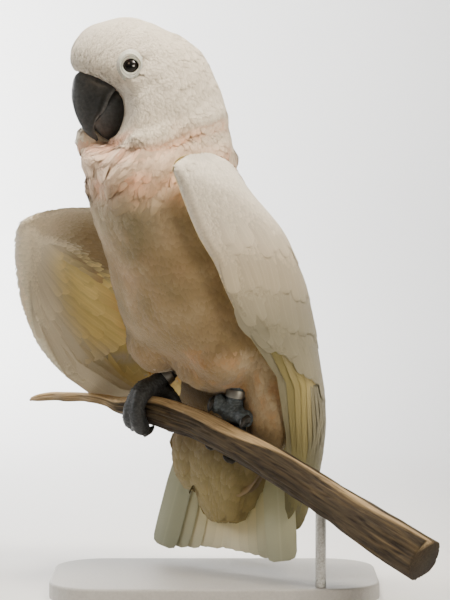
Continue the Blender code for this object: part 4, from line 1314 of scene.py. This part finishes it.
def eye_ring(name, side):
    """The lids and the bare skin round one eye, finely wrinkled, as an open ring."""
    rows = smooth_row(EYE_RING, 31)
    segments = 64
    a = np.linspace(0, 2 * math.pi, segments, endpoint=False)
    share = np.linspace(0, 1, len(rows))
    rings = []
    for q, (wide, tall, out) in zip(share, rows):
        below = np.clip(-np.sin(a), 0, 1)
        fold = 0.22 * np.sin(q * 26 + 1.2 * np.sin(2 * a) + 0.8) * band(q, 0.3, 0.5, 0.75, 0.9)
        ridge = 0.14 * np.sin(17 * a + 2.0 * np.sin(3 * a)) * band(q, 0.2, 0.4, 0.7, 0.95)
        rise = out + fold + ridge + 0.45 * below * band(q, 0.25, 0.5, 0.7, 0.9)
        stretch = 1 + 0.05 * below * ease(q, 0.2, 0.6)
        # the aperture draws to a blunt corner in front and behind
        x = EYE_PLACE[0] + wide * np.cos(a) * (1 + 0.05 * np.abs(np.cos(a)) ** 8)
        u = EYE_PLACE[1] + tall * np.sin(a) * stretch
        rings.append([head_place(p, side * (EYE_OUT + r), h) for p, r, h in zip(x, rise, u)])
    bm = lofted(rings, caps=False)
    if side < 0:
        bmesh.ops.reverse_faces(bm, faces=bm.faces)
    made = piece("eye_ring_" + name, bm, bare_skin, "plumage")
    # painted shade: the skin is darker at the lids' edge, against the eyeball, and in a crease of the
    # ring
    rim = 1 - ease(share, 0.10, 0.2)
    crease = 0.45 * band(share, 0.33, 0.4, 0.44, 0.52)
    dark = np.repeat(np.clip(rim + crease, 0, 1), segments)
    paint_points(made, blend(RING_PALE, RING_SHADE, dark))


def paint_points(made, colours):
    """A colour at each of a piece's places, which its material shows."""
    paint = made.data.color_attributes.new("tint", "FLOAT_COLOR", "POINT")
    opaque = np.concatenate([colours, np.ones((len(colours), 1))], axis=1)
    paint.data.foreach_set("color", opaque.ravel())


def eyeball(name, side):
    """A wet dark ball with its pupil turned out to the side."""
    bm = bmesh.new()
    bmesh.ops.create_uvsphere(bm, u_segments=48, v_segments=32, radius=EYE_RADIUS * MM)
    turn = Matrix.Rotation(math.radians(90), 3, "X")
    bmesh.ops.rotate(bm, verts=bm.verts, matrix=turn)
    place = head_place(EYE_PLACE[0], side * EYE_OUT, EYE_PLACE[1])
    bmesh.ops.translate(bm, verts=bm.verts, vec=Vector(place))
    made = piece("eyeball_" + name, bm, wet_eye, "eye", "eye_" + name)
    co, _ = read_verts(made.data)
    away = np.hypot(co[:, 0] - place[0], co[:, 2] - place[2]) / MM
    pupil = 1 - ease(away, 2.3, 2.7)
    rim = ease(away, 4.6, 5.2)
    paint_points(made, blend(IRIS, PUPIL, np.clip(pupil + rim, 0, 1)))


# ---------------------------------------------------------------- bill
HORN = linear("414447")
HORN_BLOOM = linear("5F6264")
HORN_EDGE_HIGHLIGHT = linear("6C6E6F")
HORN_SEAM_SHADE = linear("1F2021")
LOWER_HORN_LIT = linear("484C50")
LOWER_BLOOM = linear("6A6D70")
LOWER_ROOT_SHADE = linear("2A2826")
LOWER_GAPE_SHADE = linear("161514")
# Lines across the bill in the head's middle plane: (X, height) at the outer and the inner
# edge, and half the width there.
UPPER_BILL = [
    (-84.0, 262.0, -56.0, 252.0, 9.5),
    (-88.6, 258.4, -58.0, 248.5, 11.2),
    (-93.7, 254.0, -62.0, 243.5, 13.0),
    (-96.0, 246.0, -66.5, 237.0, 13.3),
    (-96.4, 237.5, -69.0, 231.0, 12.8),
    (-94.5, 228.0, -71.8, 226.2, 11.2),
    (-91.0, 219.5, -76.4, 222.0, 8.6),
    (-86.5, 212.0, -79.0, 215.0, 5.8),
    (-81.0, 206.4, -77.4, 209.5, 3.2),
    (-77.4, 204.6, -76.2, 205.8, 1.0),
]
LOWER_BILL = [
    (-52.5, 243.0, -56.5, 205.5, 10.6),
    (-59.0, 245.0, -61.0, 204.5, 11.6),
    (-65.5, 240.0, -67.0, 205.0, 11.4),
    (-71.0, 231.0, -73.0, 208.0, 10.4),
    (-75.6, 223.0, -77.6, 212.0, 8.8),
    (-79.4, 217.6, -80.4, 214.8, 6.8),
]


def horn(name, lines, upper, node):
    """A horn sheath over lines that cross it: rounded over its outer edge, with sharp cutting
    edges along the inner one and a hollow between them."""
    rows = smooth_row(lines, 66)
    c = np.cos(np.linspace(0, math.pi, 26))
    wide = ((1 - c) / 2) ** (0.48 if upper else 0.62)
    wide *= 1 - (0.05 if upper else 0.16) * ease(-c, 0.55, 1.0)
    hollow = [(-1 + 0.3 * (1 - q * q), q * wide[-1]) for q in np.linspace(1, -1, 14)[1:-1]]
    section = [*zip(c, wide), *hollow, *zip(c[:0:-1], -wide[:0:-1])]
    cc, ww = np.array(section).T
    gape_at = 0.14 if upper else 0.2
    rings = []
    for n, (xa, ua, xb, ub, half) in enumerate(rows):
        along = n / (len(rows) - 1)
        if not upper:
            xa, ua, xb, ub = xb, ub, xa, ua
        # growth lines cross the sheath and fine splits run towards its tip
        growth = 0.14 * noisy(along * 34, cc * 1.5, 2.0 * (ww > 0))
        split = np.abs(noisy(along * 3.0, cc * 9.0, 5.0 + (ww > 0)))
        gape = math.exp(-((along - gape_at) / 0.1) ** 2)
        growth += 0.5 * gape * np.sin(30 * cc + 6 * along) * np.maximum(0.0, 0.3 - cc)
        relief = growth - 0.22 * np.maximum(0.0, 1 - 9 * split)
        relief += 0.16 * noisy(along * 9, cc * 4, ww * 4)
        grown = 1 + relief / max(half, 3.0)
        x = (xa + xb) / 2 + (xa - xb) / 2 * cc * grown
        u = (ua + ub) / 2 + (ua - ub) / 2 * cc * grown
        rings.append([head_place(*p) for p in zip(x, half * ww * grown, u)])
    made = piece(name, lofted(rings), horn_skin, "bill", node)
    along = np.repeat(np.linspace(0, 1, len(rows)), len(section))
    cc = np.tile(cc, len(rows))
    # painted highlight along the upper sheath's cutting edge, and painted shade in a line beside it
    if upper:
        washes = [
            (HORN_BLOOM, 0.6 * band(along, 0.05, 0.3, 0.7, 0.95) * ease(cc, -0.2, 0.7)),
            (HORN_EDGE_HIGHLIGHT, 0.8 * ease(-cc, 0.78, 0.95) * band(along, 0.1, 0.3, 0.8, 1.0)),
            (HORN_SEAM_SHADE, 0.7 * band(-cc, 0.5, 0.66, 0.72, 0.84)
             * band(along, 0.15, 0.35, 0.6, 0.8)),
        ]
    else:
        # painted shade at the lower sheath's root and along its edge under the upper bill
        washes = [
            (LOWER_BLOOM, 0.5 * ease(along, 0.55, 0.9) * ease(-cc, 0.0, 0.9)),
            (LOWER_ROOT_SHADE, 0.6 * (1 - ease(along, 0.0, 0.4))),
            (LOWER_GAPE_SHADE, 0.85 * ease(-cc, 0.6, 0.85)),
        ]
    # the lower sheath's base colour is painted a little lighter than the upper's, as painted light
    paint_points(made, washed(HORN if upper else LOWER_HORN_LIT, *washes))


# ---------------------------------------------------------------- feet, claws and rings
LEG_SHADED = linear("303335")
LEG_LIT = linear("505A5F")
CLAW_DARK = linear("191817")
CLAW_PALE = linear("3A3835")


def refined(node, name, material, voxel, passes, relief):
    """A CAD node's shape made fine and smooth, with a relief over it."""
    made = placed(name, meshed(name, node_mesh(node)))
    fine = evened(made, voxel * MM, passes)
    co, normal = read_verts(fine)
    rise, tint = relief(own_axes(co))
    raised(fine, co, normal, rise)
    paint_points(made, tint)
    fine.materials.clear()
    fine.materials.append(material)
    belongs(made, [node])


def scutes(own):
    """Leg scales: wide across the toes, rounded, with the grooves between them painted darker as
    shade; the legs are painted paler on the bird's left than on their right, as painted light.
    """
    gaps = []
    for f, l, u in own:
        near, _ = noise.voronoi(Vector((f / 2.1, l / 4.2, u / 2.1)))
        gaps.append(near[1] - near[0])
    plate = ease(np.array(gaps), 0.02, 0.3)
    # painted light: the scales paler on the bird's left than on its right
    lit = blend(LEG_SHADED, LEG_LIT, ease(own[:, 1], -10, 10))
    # painted shade: the grooves between the scales darker
    return 0.9 + 0.45 * plate, blend(lit * 0.55, lit, plate)


def claw_grain(own):
    """Claw horn: faint ridges, paler here and there."""
    grain = waves(own, 1.6, 1.0)
    return 0.25 + 0.05 * grain, blend(CLAW_DARK, CLAW_PALE, np.clip(grain, 0, 1))


def rounded(node, name, material, slot):
    """A CAD node with its hard edges rounded off."""
    bm = node_mesh(node)
    hard = [e for e in bm.edges if len(e.link_faces) == 2 and e.calc_face_angle() > 0.8]
    bmesh.ops.bevel(bm, geom=hard, offset=0.25 * MM, segments=3, affect="EDGES", profile=0.5,
                    material=-1)
    return piece(name, bm, material, slot, node)


# ---------------------------------------------------------------- perch
BARK = linear("483C2A")
BARK_SHADE = linear("30261A")
CRACK_SHADE = linear("2C2215")
FIBRE = linear("77623F")
BARE_WOOD = linear("CDB083")
# Along the branch: place on L, height of its middle, radius.
BRANCH = [
    (-183, -4.6, 1.6), (-165, -1.5, 3.0), (-147, 0.0, 3.9), (-128, 1.0, 3.6),
    (-109, 0.8, 4.0), (-92, -2.0, 5.2), (-79, -3.4, 7.2), (-62, -3.6, 10.2),
    (-38, -5.2, 12.0), (-16, -9.4, 12.1), (3, -13.6, 12.2), (38, -25.4, 12.8),
    (75, -38.5, 13.6), (126, -59.6, 14.5), (172, -79.6, 16.6), (212, -96.2, 17.0),
]
SPLIT_AT = math.radians(104)  # the way the flat split face looks, round from F towards up
BARE_AT = math.radians(80)  # the middle of the strip that has lost its bark


def perch():
    """A weathered limb: barky and cracked along its grain, its upper side split off bare."""
    rows = smooth_row(BRANCH, 300)
    sides = 96
    a = np.linspace(0, 2 * math.pi, sides, endpoint=False)
    c, s = np.cos(a), np.sin(a)
    run = np.gradient(rows[:, :2], axis=0)
    run /= np.linalg.norm(run, axis=1, keepdims=True)
    rings, grain, tint = [], [], []
    for (l, u, radius), (rl, ru) in zip(rows, run):
        worn = 0.62 + 0.31 * ease(l, 10, 90)
        bare = ease(np.cos(a - BARE_AT + 0.10 * math.sin(0.05 * l)), worn, worn + 0.07)
        thin = 1 - ease(l, -100, -70)
        bare = np.maximum(bare, 0.55 * thin)
        rough = 1 + 0.045 * np.sin(3 * a + 0.02 * l) + 0.03 * np.sin(5 * a - 0.05 * l)
        cut = 0.84 / np.maximum(np.cos(a - SPLIT_AT), 0.05)
        shape = np.minimum(rough, cut + thin)
        cracks = np.abs(noisy(c * 4.6 + 9, s * 4.6, l * 0.022))
        lumps = noisy(c * 1.3, s * 1.3 + 4, l * 0.05)
        fibres = noisy(c * 11, s * 11, l * 0.03 + 7)
        ridge = np.clip(1 - 6 * cracks, 0, 1) ** 1.5
        bark = 1 - bare
        relief = (-1.5 * ridge * bark + 0.8 * lumps * bark + 0.35 * fibres
                  - 0.5 * np.clip(1 - 12 * cracks, 0, 1) * bare)
        relief = relief * min(1.0, radius / 9.0) + 1.1 * lumps * thin
        reach = radius * shape + relief
        off_f = c * reach
        off_up = s * reach
        lean = 1.6 * thin * math.sin(0.21 * l)
        rings.append([bird(p + lean, l - ru * q, u + rl * q) for p, q in zip(off_f, off_up)])
        grain.append(np.stack([np.full(sides, l), off_f, off_up], axis=1) * MM)
        # painted shade: the bark darker down its cracks, on its sunken lumps and towards the underside
        tint.append(washed(
            BARK,
            (BARE_WOOD, bare),
            (CRACK_SHADE, np.clip(ridge * bark + 0.35 * bark * (lumps < -0.1), 0, 1)),
            (BARK_SHADE, 0.85 * bark * ease(-s, 0.1, 0.9)),
            (FIBRE, np.clip(fibres, 0, 1) * 0.8),
        ))
    made = piece("perch_wood", lofted(rings), weathered, "wood", "perch")
    paint_points(made, np.concatenate(tint))
    along = made.data.attributes.new("grain", "FLOAT_VECTOR", "POINT")
    along.data.foreach_set("vector", np.concatenate(grain).ravel())


# ---------------------------------------------------------------- hard materials
def tinted(name, roughness, size, depth, low, drawn_out=None, **values):
    """A material whose painted tint is broken up by a fine speckle, which is also its relief.
    The speckle's size and depth are in millimetres; on wood it is drawn out along the grain,
    so many times as long as it is wide."""
    made, tree, shader = start_material(name)
    if drawn_out:
        grain = add(tree, "ShaderNodeAttribute", attribute_name="grain").outputs["Vector"]
        place = add(tree, "ShaderNodeMapping",
                    {"Vector": grain, "Scale": (1 / drawn_out, 1, 1)}).outputs["Vector"]
    else:
        place = add(tree, "ShaderNodeTexCoord").outputs["Object"]
    speckle = add(tree, "ShaderNodeTexNoise",
                  {"Vector": place, "Scale": 1 / (size * MM), "Detail": 5.0,
                   "Roughness": 0.6}).outputs["Fac"]
    shade = add(tree, "ShaderNodeMapRange", {"Value": speckle, "From Min": 0.3,
                                             "From Max": 0.7, "To Min": low, "To Max": 1.15})
    fill(tree, shader, {"Base Color": painted(tree, shade.outputs["Result"]),
                        "Roughness": roughness})
    fill(tree, shader, {key.replace("_", " "): value for key, value in values.items()})
    if depth:
        relief = add(tree, "ShaderNodeBump", {"Height": speckle, "Strength": 0.6,
                                              "Distance": depth * MM})
        fill(tree, shader, {"Normal": relief.outputs["Normal"]})
    return made


def worn_metal(name, code, roughness, size):
    """Metal dulled by fine wear, whose marks are this many millimetres across: its tone and
    its blurred reflections change from place to place."""
    made, tree, shader = start_material(name)
    place = add(tree, "ShaderNodeTexCoord").outputs["Object"]
    wear = add(tree, "ShaderNodeTexNoise", {"Vector": place, "Scale": 1 / (size * MM),
                                            "Detail": 6.0, "Roughness": 0.7}).outputs["Fac"]
    tone = set_stops(add(tree, "ShaderNodeValToRGB", {"Fac": wear}), (0.35, code),
                     (0.7, "8C8A83"))
    rough = add(tree, "ShaderNodeMapRange", {"Value": wear, "To Min": roughness - 0.1,
                                             "To Max": roughness + 0.15})
    relief = add(tree, "ShaderNodeBump", {"Height": wear, "Strength": 0.4,
                                          "Distance": 0.05 * MM})
    fill(tree, shader, {"Base Color": tone, "Roughness": rough.outputs["Result"],
                        "Metallic": 1.0, "Normal": relief.outputs["Normal"]})
    return made


def board_paint():
    """Satin off-white paint, rolled on the stand's board: a soft sheen and a faint peel."""
    made, tree, shader = start_material("Satin board paint")
    place = add(tree, "ShaderNodeTexCoord").outputs["Object"]
    peel = add(tree, "ShaderNodeTexNoise",
               {"Vector": place, "Scale": 1 / (ROLLER_PEEL * MM), "Detail": 2.0}).outputs["Fac"]
    tone = set_stops(add(tree, "ShaderNodeValToRGB", {"Fac": peel}), (0.3, "A9A7A3"),
                     (0.7, "B2B0AC"))
    relief = add(tree, "ShaderNodeBump", {"Height": peel, "Strength": 0.3,
                                          "Distance": 0.1 * MM})
    fill(tree, shader, {"Base Color": tone, "Roughness": 0.5,
                        "Normal": relief.outputs["Normal"]})
    return made


# ---------------------------------------------------------------- stage
PAPER_HALF = 3.0  # half the paper's width, in metres
# The paper's run from the floor up behind, as (Y, height) in metres.
PAPER_LINE = [(-2.6, 0), (0.3, 0), (0.75, 0.03), (1.15, 0.12), (1.45, 0.28), (1.65, 0.52),
              (1.76, 0.85), (1.8, 1.3), (1.8, 3.2)]
CAMERA_AIM = (19.25, 0, 83.2)  # from the bird's origin, in millimetres
CAMERA_AWAY = 1.9
CAMERA_TILT = math.radians(3)
VIEW_TALL = 0.462  # height of the view where the bird stands
# Name, place, aim, size in metres, power in watts, colour and spread in degrees.
LAMPS = [
    ("key", (0.36, -0.36, 0.98), (0.0, 0.0, 0.34), (0.3, 0.3), 1.6, "FFF5E6", 70),
    ("overhead", (-0.15, -0.10, 1.05), (-0.03, 0.0, 0.38), (0.3, 0.3), 1.4, "FFF5E6", 60),
    ("front", (-0.9, -1.9, 1.5), (0, 0, 0.3), (0.6, 0.6), 0.6, "FFE0BC", 60),
    ("paper left", (-0.95, 1.0, 0.75), (-0.35, 1.8, 0.3), (0.3, 0.7), 21, "FFFFFF", 130),
    ("paper", (-0.15, 0.9, 1.6), (-0.25, 1.7, 0.15), (1.2, 0.4), 17, "FFFFFF", 120),
    ("side", (0.75, -1.3, 0.4), (-0.05, 0.0, 0.3), (0.4, 0.4), 1.0, "FFF3E0", 60),
    ("rim", (-1.1, 0.35, 0.6), (-0.12, 0.0, 0.25), (0.3, 0.5), 0.8, "FFFFFF", 50),
    ("floor", (-0.55, 0.75, 1.2), (-0.45, 0.75, 0.0), (0.6, 0.6), 10, "FFFFFF", 80),
]


def stage():
    """Pale paper that runs from the floor up behind, with a soft fall of light across it."""
    paper, tree, shader = start_material("Grey paper")
    place = add(tree, "ShaderNodeTexCoord").outputs["Object"]
    cloud = add(tree, "ShaderNodeTexNoise", {"Vector": place, "Scale": 3.0}).outputs["Fac"]
    tone = set_stops(add(tree, "ShaderNodeValToRGB", {"Fac": cloud}), (0.3, "F2F2F1"),
                     (0.7, "F4F4F3"))
    fill(tree, shader, {"Base Color": tone, "Roughness": 0.95})
    # seen from behind the paper is clear, so that the bird's other side can be looked at
    rear = add(tree, "ShaderNodeNewGeometry").outputs["Backfacing"]
    clear = add(tree, "ShaderNodeBsdfTransparent").outputs["BSDF"]
    either = add(tree, "ShaderNodeMixShader", {"Fac": rear, 1: shader.outputs["BSDF"], 2: clear})
    output = next(node for node in tree.nodes if node.type == "OUTPUT_MATERIAL")
    fill(tree, output, {"Surface": either.outputs["Shader"]})
    bm = bmesh.new()
    ends = [bm.verts.new((x, *PAPER_LINE[0])) for x in (-PAPER_HALF, PAPER_HALF)]
    edges = [bm.edges.new(ends)]
    for (y0, z0), (y1, z1) in zip(PAPER_LINE, PAPER_LINE[1:]):
        grown = bmesh.ops.extrude_edge_only(bm, edges=edges)["geom"]
        verts = [g for g in grown if isinstance(g, bmesh.types.BMVert)]
        bmesh.ops.translate(bm, verts=verts, vec=(0, y1 - y0, z1 - z0))
        edges = [g for g in grown if isinstance(g, bmesh.types.BMEdge)]
    bmesh.ops.recalc_face_normals(bm, faces=bm.faces)
    bmesh.ops.reverse_faces(bm, faces=bm.faces)
    placed("backdrop", meshed("backdrop", bm, paper))


def lamp(name, place, aim, size, power, colour, spread):
    """One soft lamp."""
    light = bpy.data.lights.new(name, "AREA")
    light.shape = "RECTANGLE"
    light.size, light.size_y = size
    light.energy = power
    light.color = linear(colour)
    light.spread = math.radians(spread)
    made = placed(name, light)
    made.location = place
    turn = Vector(aim) - Vector(place)
    made.rotation_euler = turn.to_track_quat("-Z", "Y").to_euler()


def camera():
    """Straight on to the bird's side, a little from above."""
    data = bpy.data.cameras.new("camera")
    data.sensor_fit = "VERTICAL"
    data.sensor_height = 36
    data.lens = data.sensor_height * CAMERA_AWAY / VIEW_TALL
    made = placed("camera", data)
    aim = ORIGIN + np.array(CAMERA_AIM) * MM
    eye = aim + CAMERA_AWAY * np.array([0, -math.cos(CAMERA_TILT), math.sin(CAMERA_TILT)])
    made.location = Vector(eye)
    made.rotation_euler = Vector(aim - eye).to_track_quat("-Z", "Y").to_euler()
    bpy.context.scene.camera = made


def lights():
    """A dim warm room and the lamps."""
    world = bpy.data.worlds.new("studio")
    world.use_nodes = True
    fill(world.node_tree, world.node_tree.nodes["Background"],
         {"Color": (*linear("F3E9DA"), 1), "Strength": 0.10})
    bpy.context.scene.world = world
    for row in LAMPS:
        lamp(*row)


# ---------------------------------------------------------------- the whole bird
# Sizes in these materials are in millimetres, and a few times the real grain's, so that
# it shows in the render.
# Body feathers are downy and short, 13 mm being a middle length, so their streaks are few
# and slant steeply.
soft = feather_material("Contour feather", 13.0, 2.6, 0.95, 0.9, 0.86)
# The vanes of wings and tail are stiff and closed, and 120 mm long in the tail: a little
# smoother, with a pale shaft.
stiff = feather_material("Flight feather", 120.0, 0.9, 1.1, 0.7, 0.94)
# Bare skin is matt and finely creased, and a little light passes into it.
bare_skin = tinted("Bare eye skin", 0.55, 1.1111, 0.2, 0.9, Subsurface_Weight=0.1)
# The eyeball is wet: a clear coat over a dark iris gives it small sharp highlights.
wet_eye = tinted("Wet dark eye", 0.25, 2.5, 0.0, 0.8, Coat_Weight=0.6, Coat_Roughness=0.12)
# Horn grows in sheets and wears smooth: satin, with a grey bloom in patches.
horn_skin = tinted("Charcoal horn", 0.36, 2.381, 0.2, 0.6)
# The legs' scales are dry and dusty, so they hardly shine.
leg_skin = tinted("Scaled leg skin", 0.6, 1.4286, 0.2, 0.7)
# Claws are of denser horn than the scales, darker and smoother.
claw_horn = tinted("Claw horn", 0.4, 2.0, 0.1, 0.8)
# Wood left to the weather: dull, its fibres raised along the grain; the dark in its cracks
# is painted shade.
weathered = tinted("Weathered wood", 0.9, 1.4286, 1.2, 0.42, drawn_out=15.5556)
# The leg rings are of rolled aluminium, dulled by years of wear.
aluminium = worn_metal("Worn aluminium", "8E8D88", 0.4, 1.1111)
# The rod is of drawn steel, brushed to an even grey shine.
steel = worn_metal("Brushed steel", "C2C2C0", 0.32, 1.4286)

skin, skin_kinds = make_skin(*flesh_tree())
skin_places, skin_outs = read_verts(skin.data)
# the skin, seen only down between the feathers, is painted a fifth darker than them as painted shade
paint_points(skin, 0.8 * markings(skin_kinds, own_axes(skin_places), skin_outs))
skin.data.materials.append(skin_material())
belongs(skin, FLESH)

skin_tree = BVHTree.FromObject(skin, bpy.context.evaluated_depsgraph_get())
BILL_TREES = [BVHTree.FromBMesh(node_mesh(node)) for node in ("bill_upper", "bill_lower")]
body_coat("plumage_head", "head", "chin")
body_coat("plumage_neck", "neck")
body_coat("plumage_trunk", "trunk")
body_coat("plumage_rump", "rump")
body_coat("plumage_thighs", "thigh_left", "thigh_right")
for wing in SURFACES:
    wing_coverts(wing)
    long_coverts(wing)
    flight_feathers(wing)
tail_feathers()
crest()

for name, side in (("left", -1), ("right", 1)):
    eyeball(name, side)
    eye_ring(name, side)
horn("bill_upper_horn", UPPER_BILL, True, "bill_upper")
horn("bill_lower_horn", LOWER_BILL, False, "bill_lower")
for side in ("left", "right"):
    refined("foot_" + side, "foot_skin_" + side, leg_skin, 0.7, 4, scutes)
    rounded("leg_ring_" + side, "ring_" + side, aluminium, "ring")
    for n in range(1, 5):
        claw = "%s_%d" % (side, n)
        refined("claw_" + claw, "claw_horn_" + claw, claw_horn, 0.4, 3, claw_grain)
perch()
for name, finish in (("stand_base", board_paint()), ("stand_rod", steel)):
    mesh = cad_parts[name].data
    mesh.materials.clear()
    mesh.materials.append(finish)

stage()
camera()
lights()
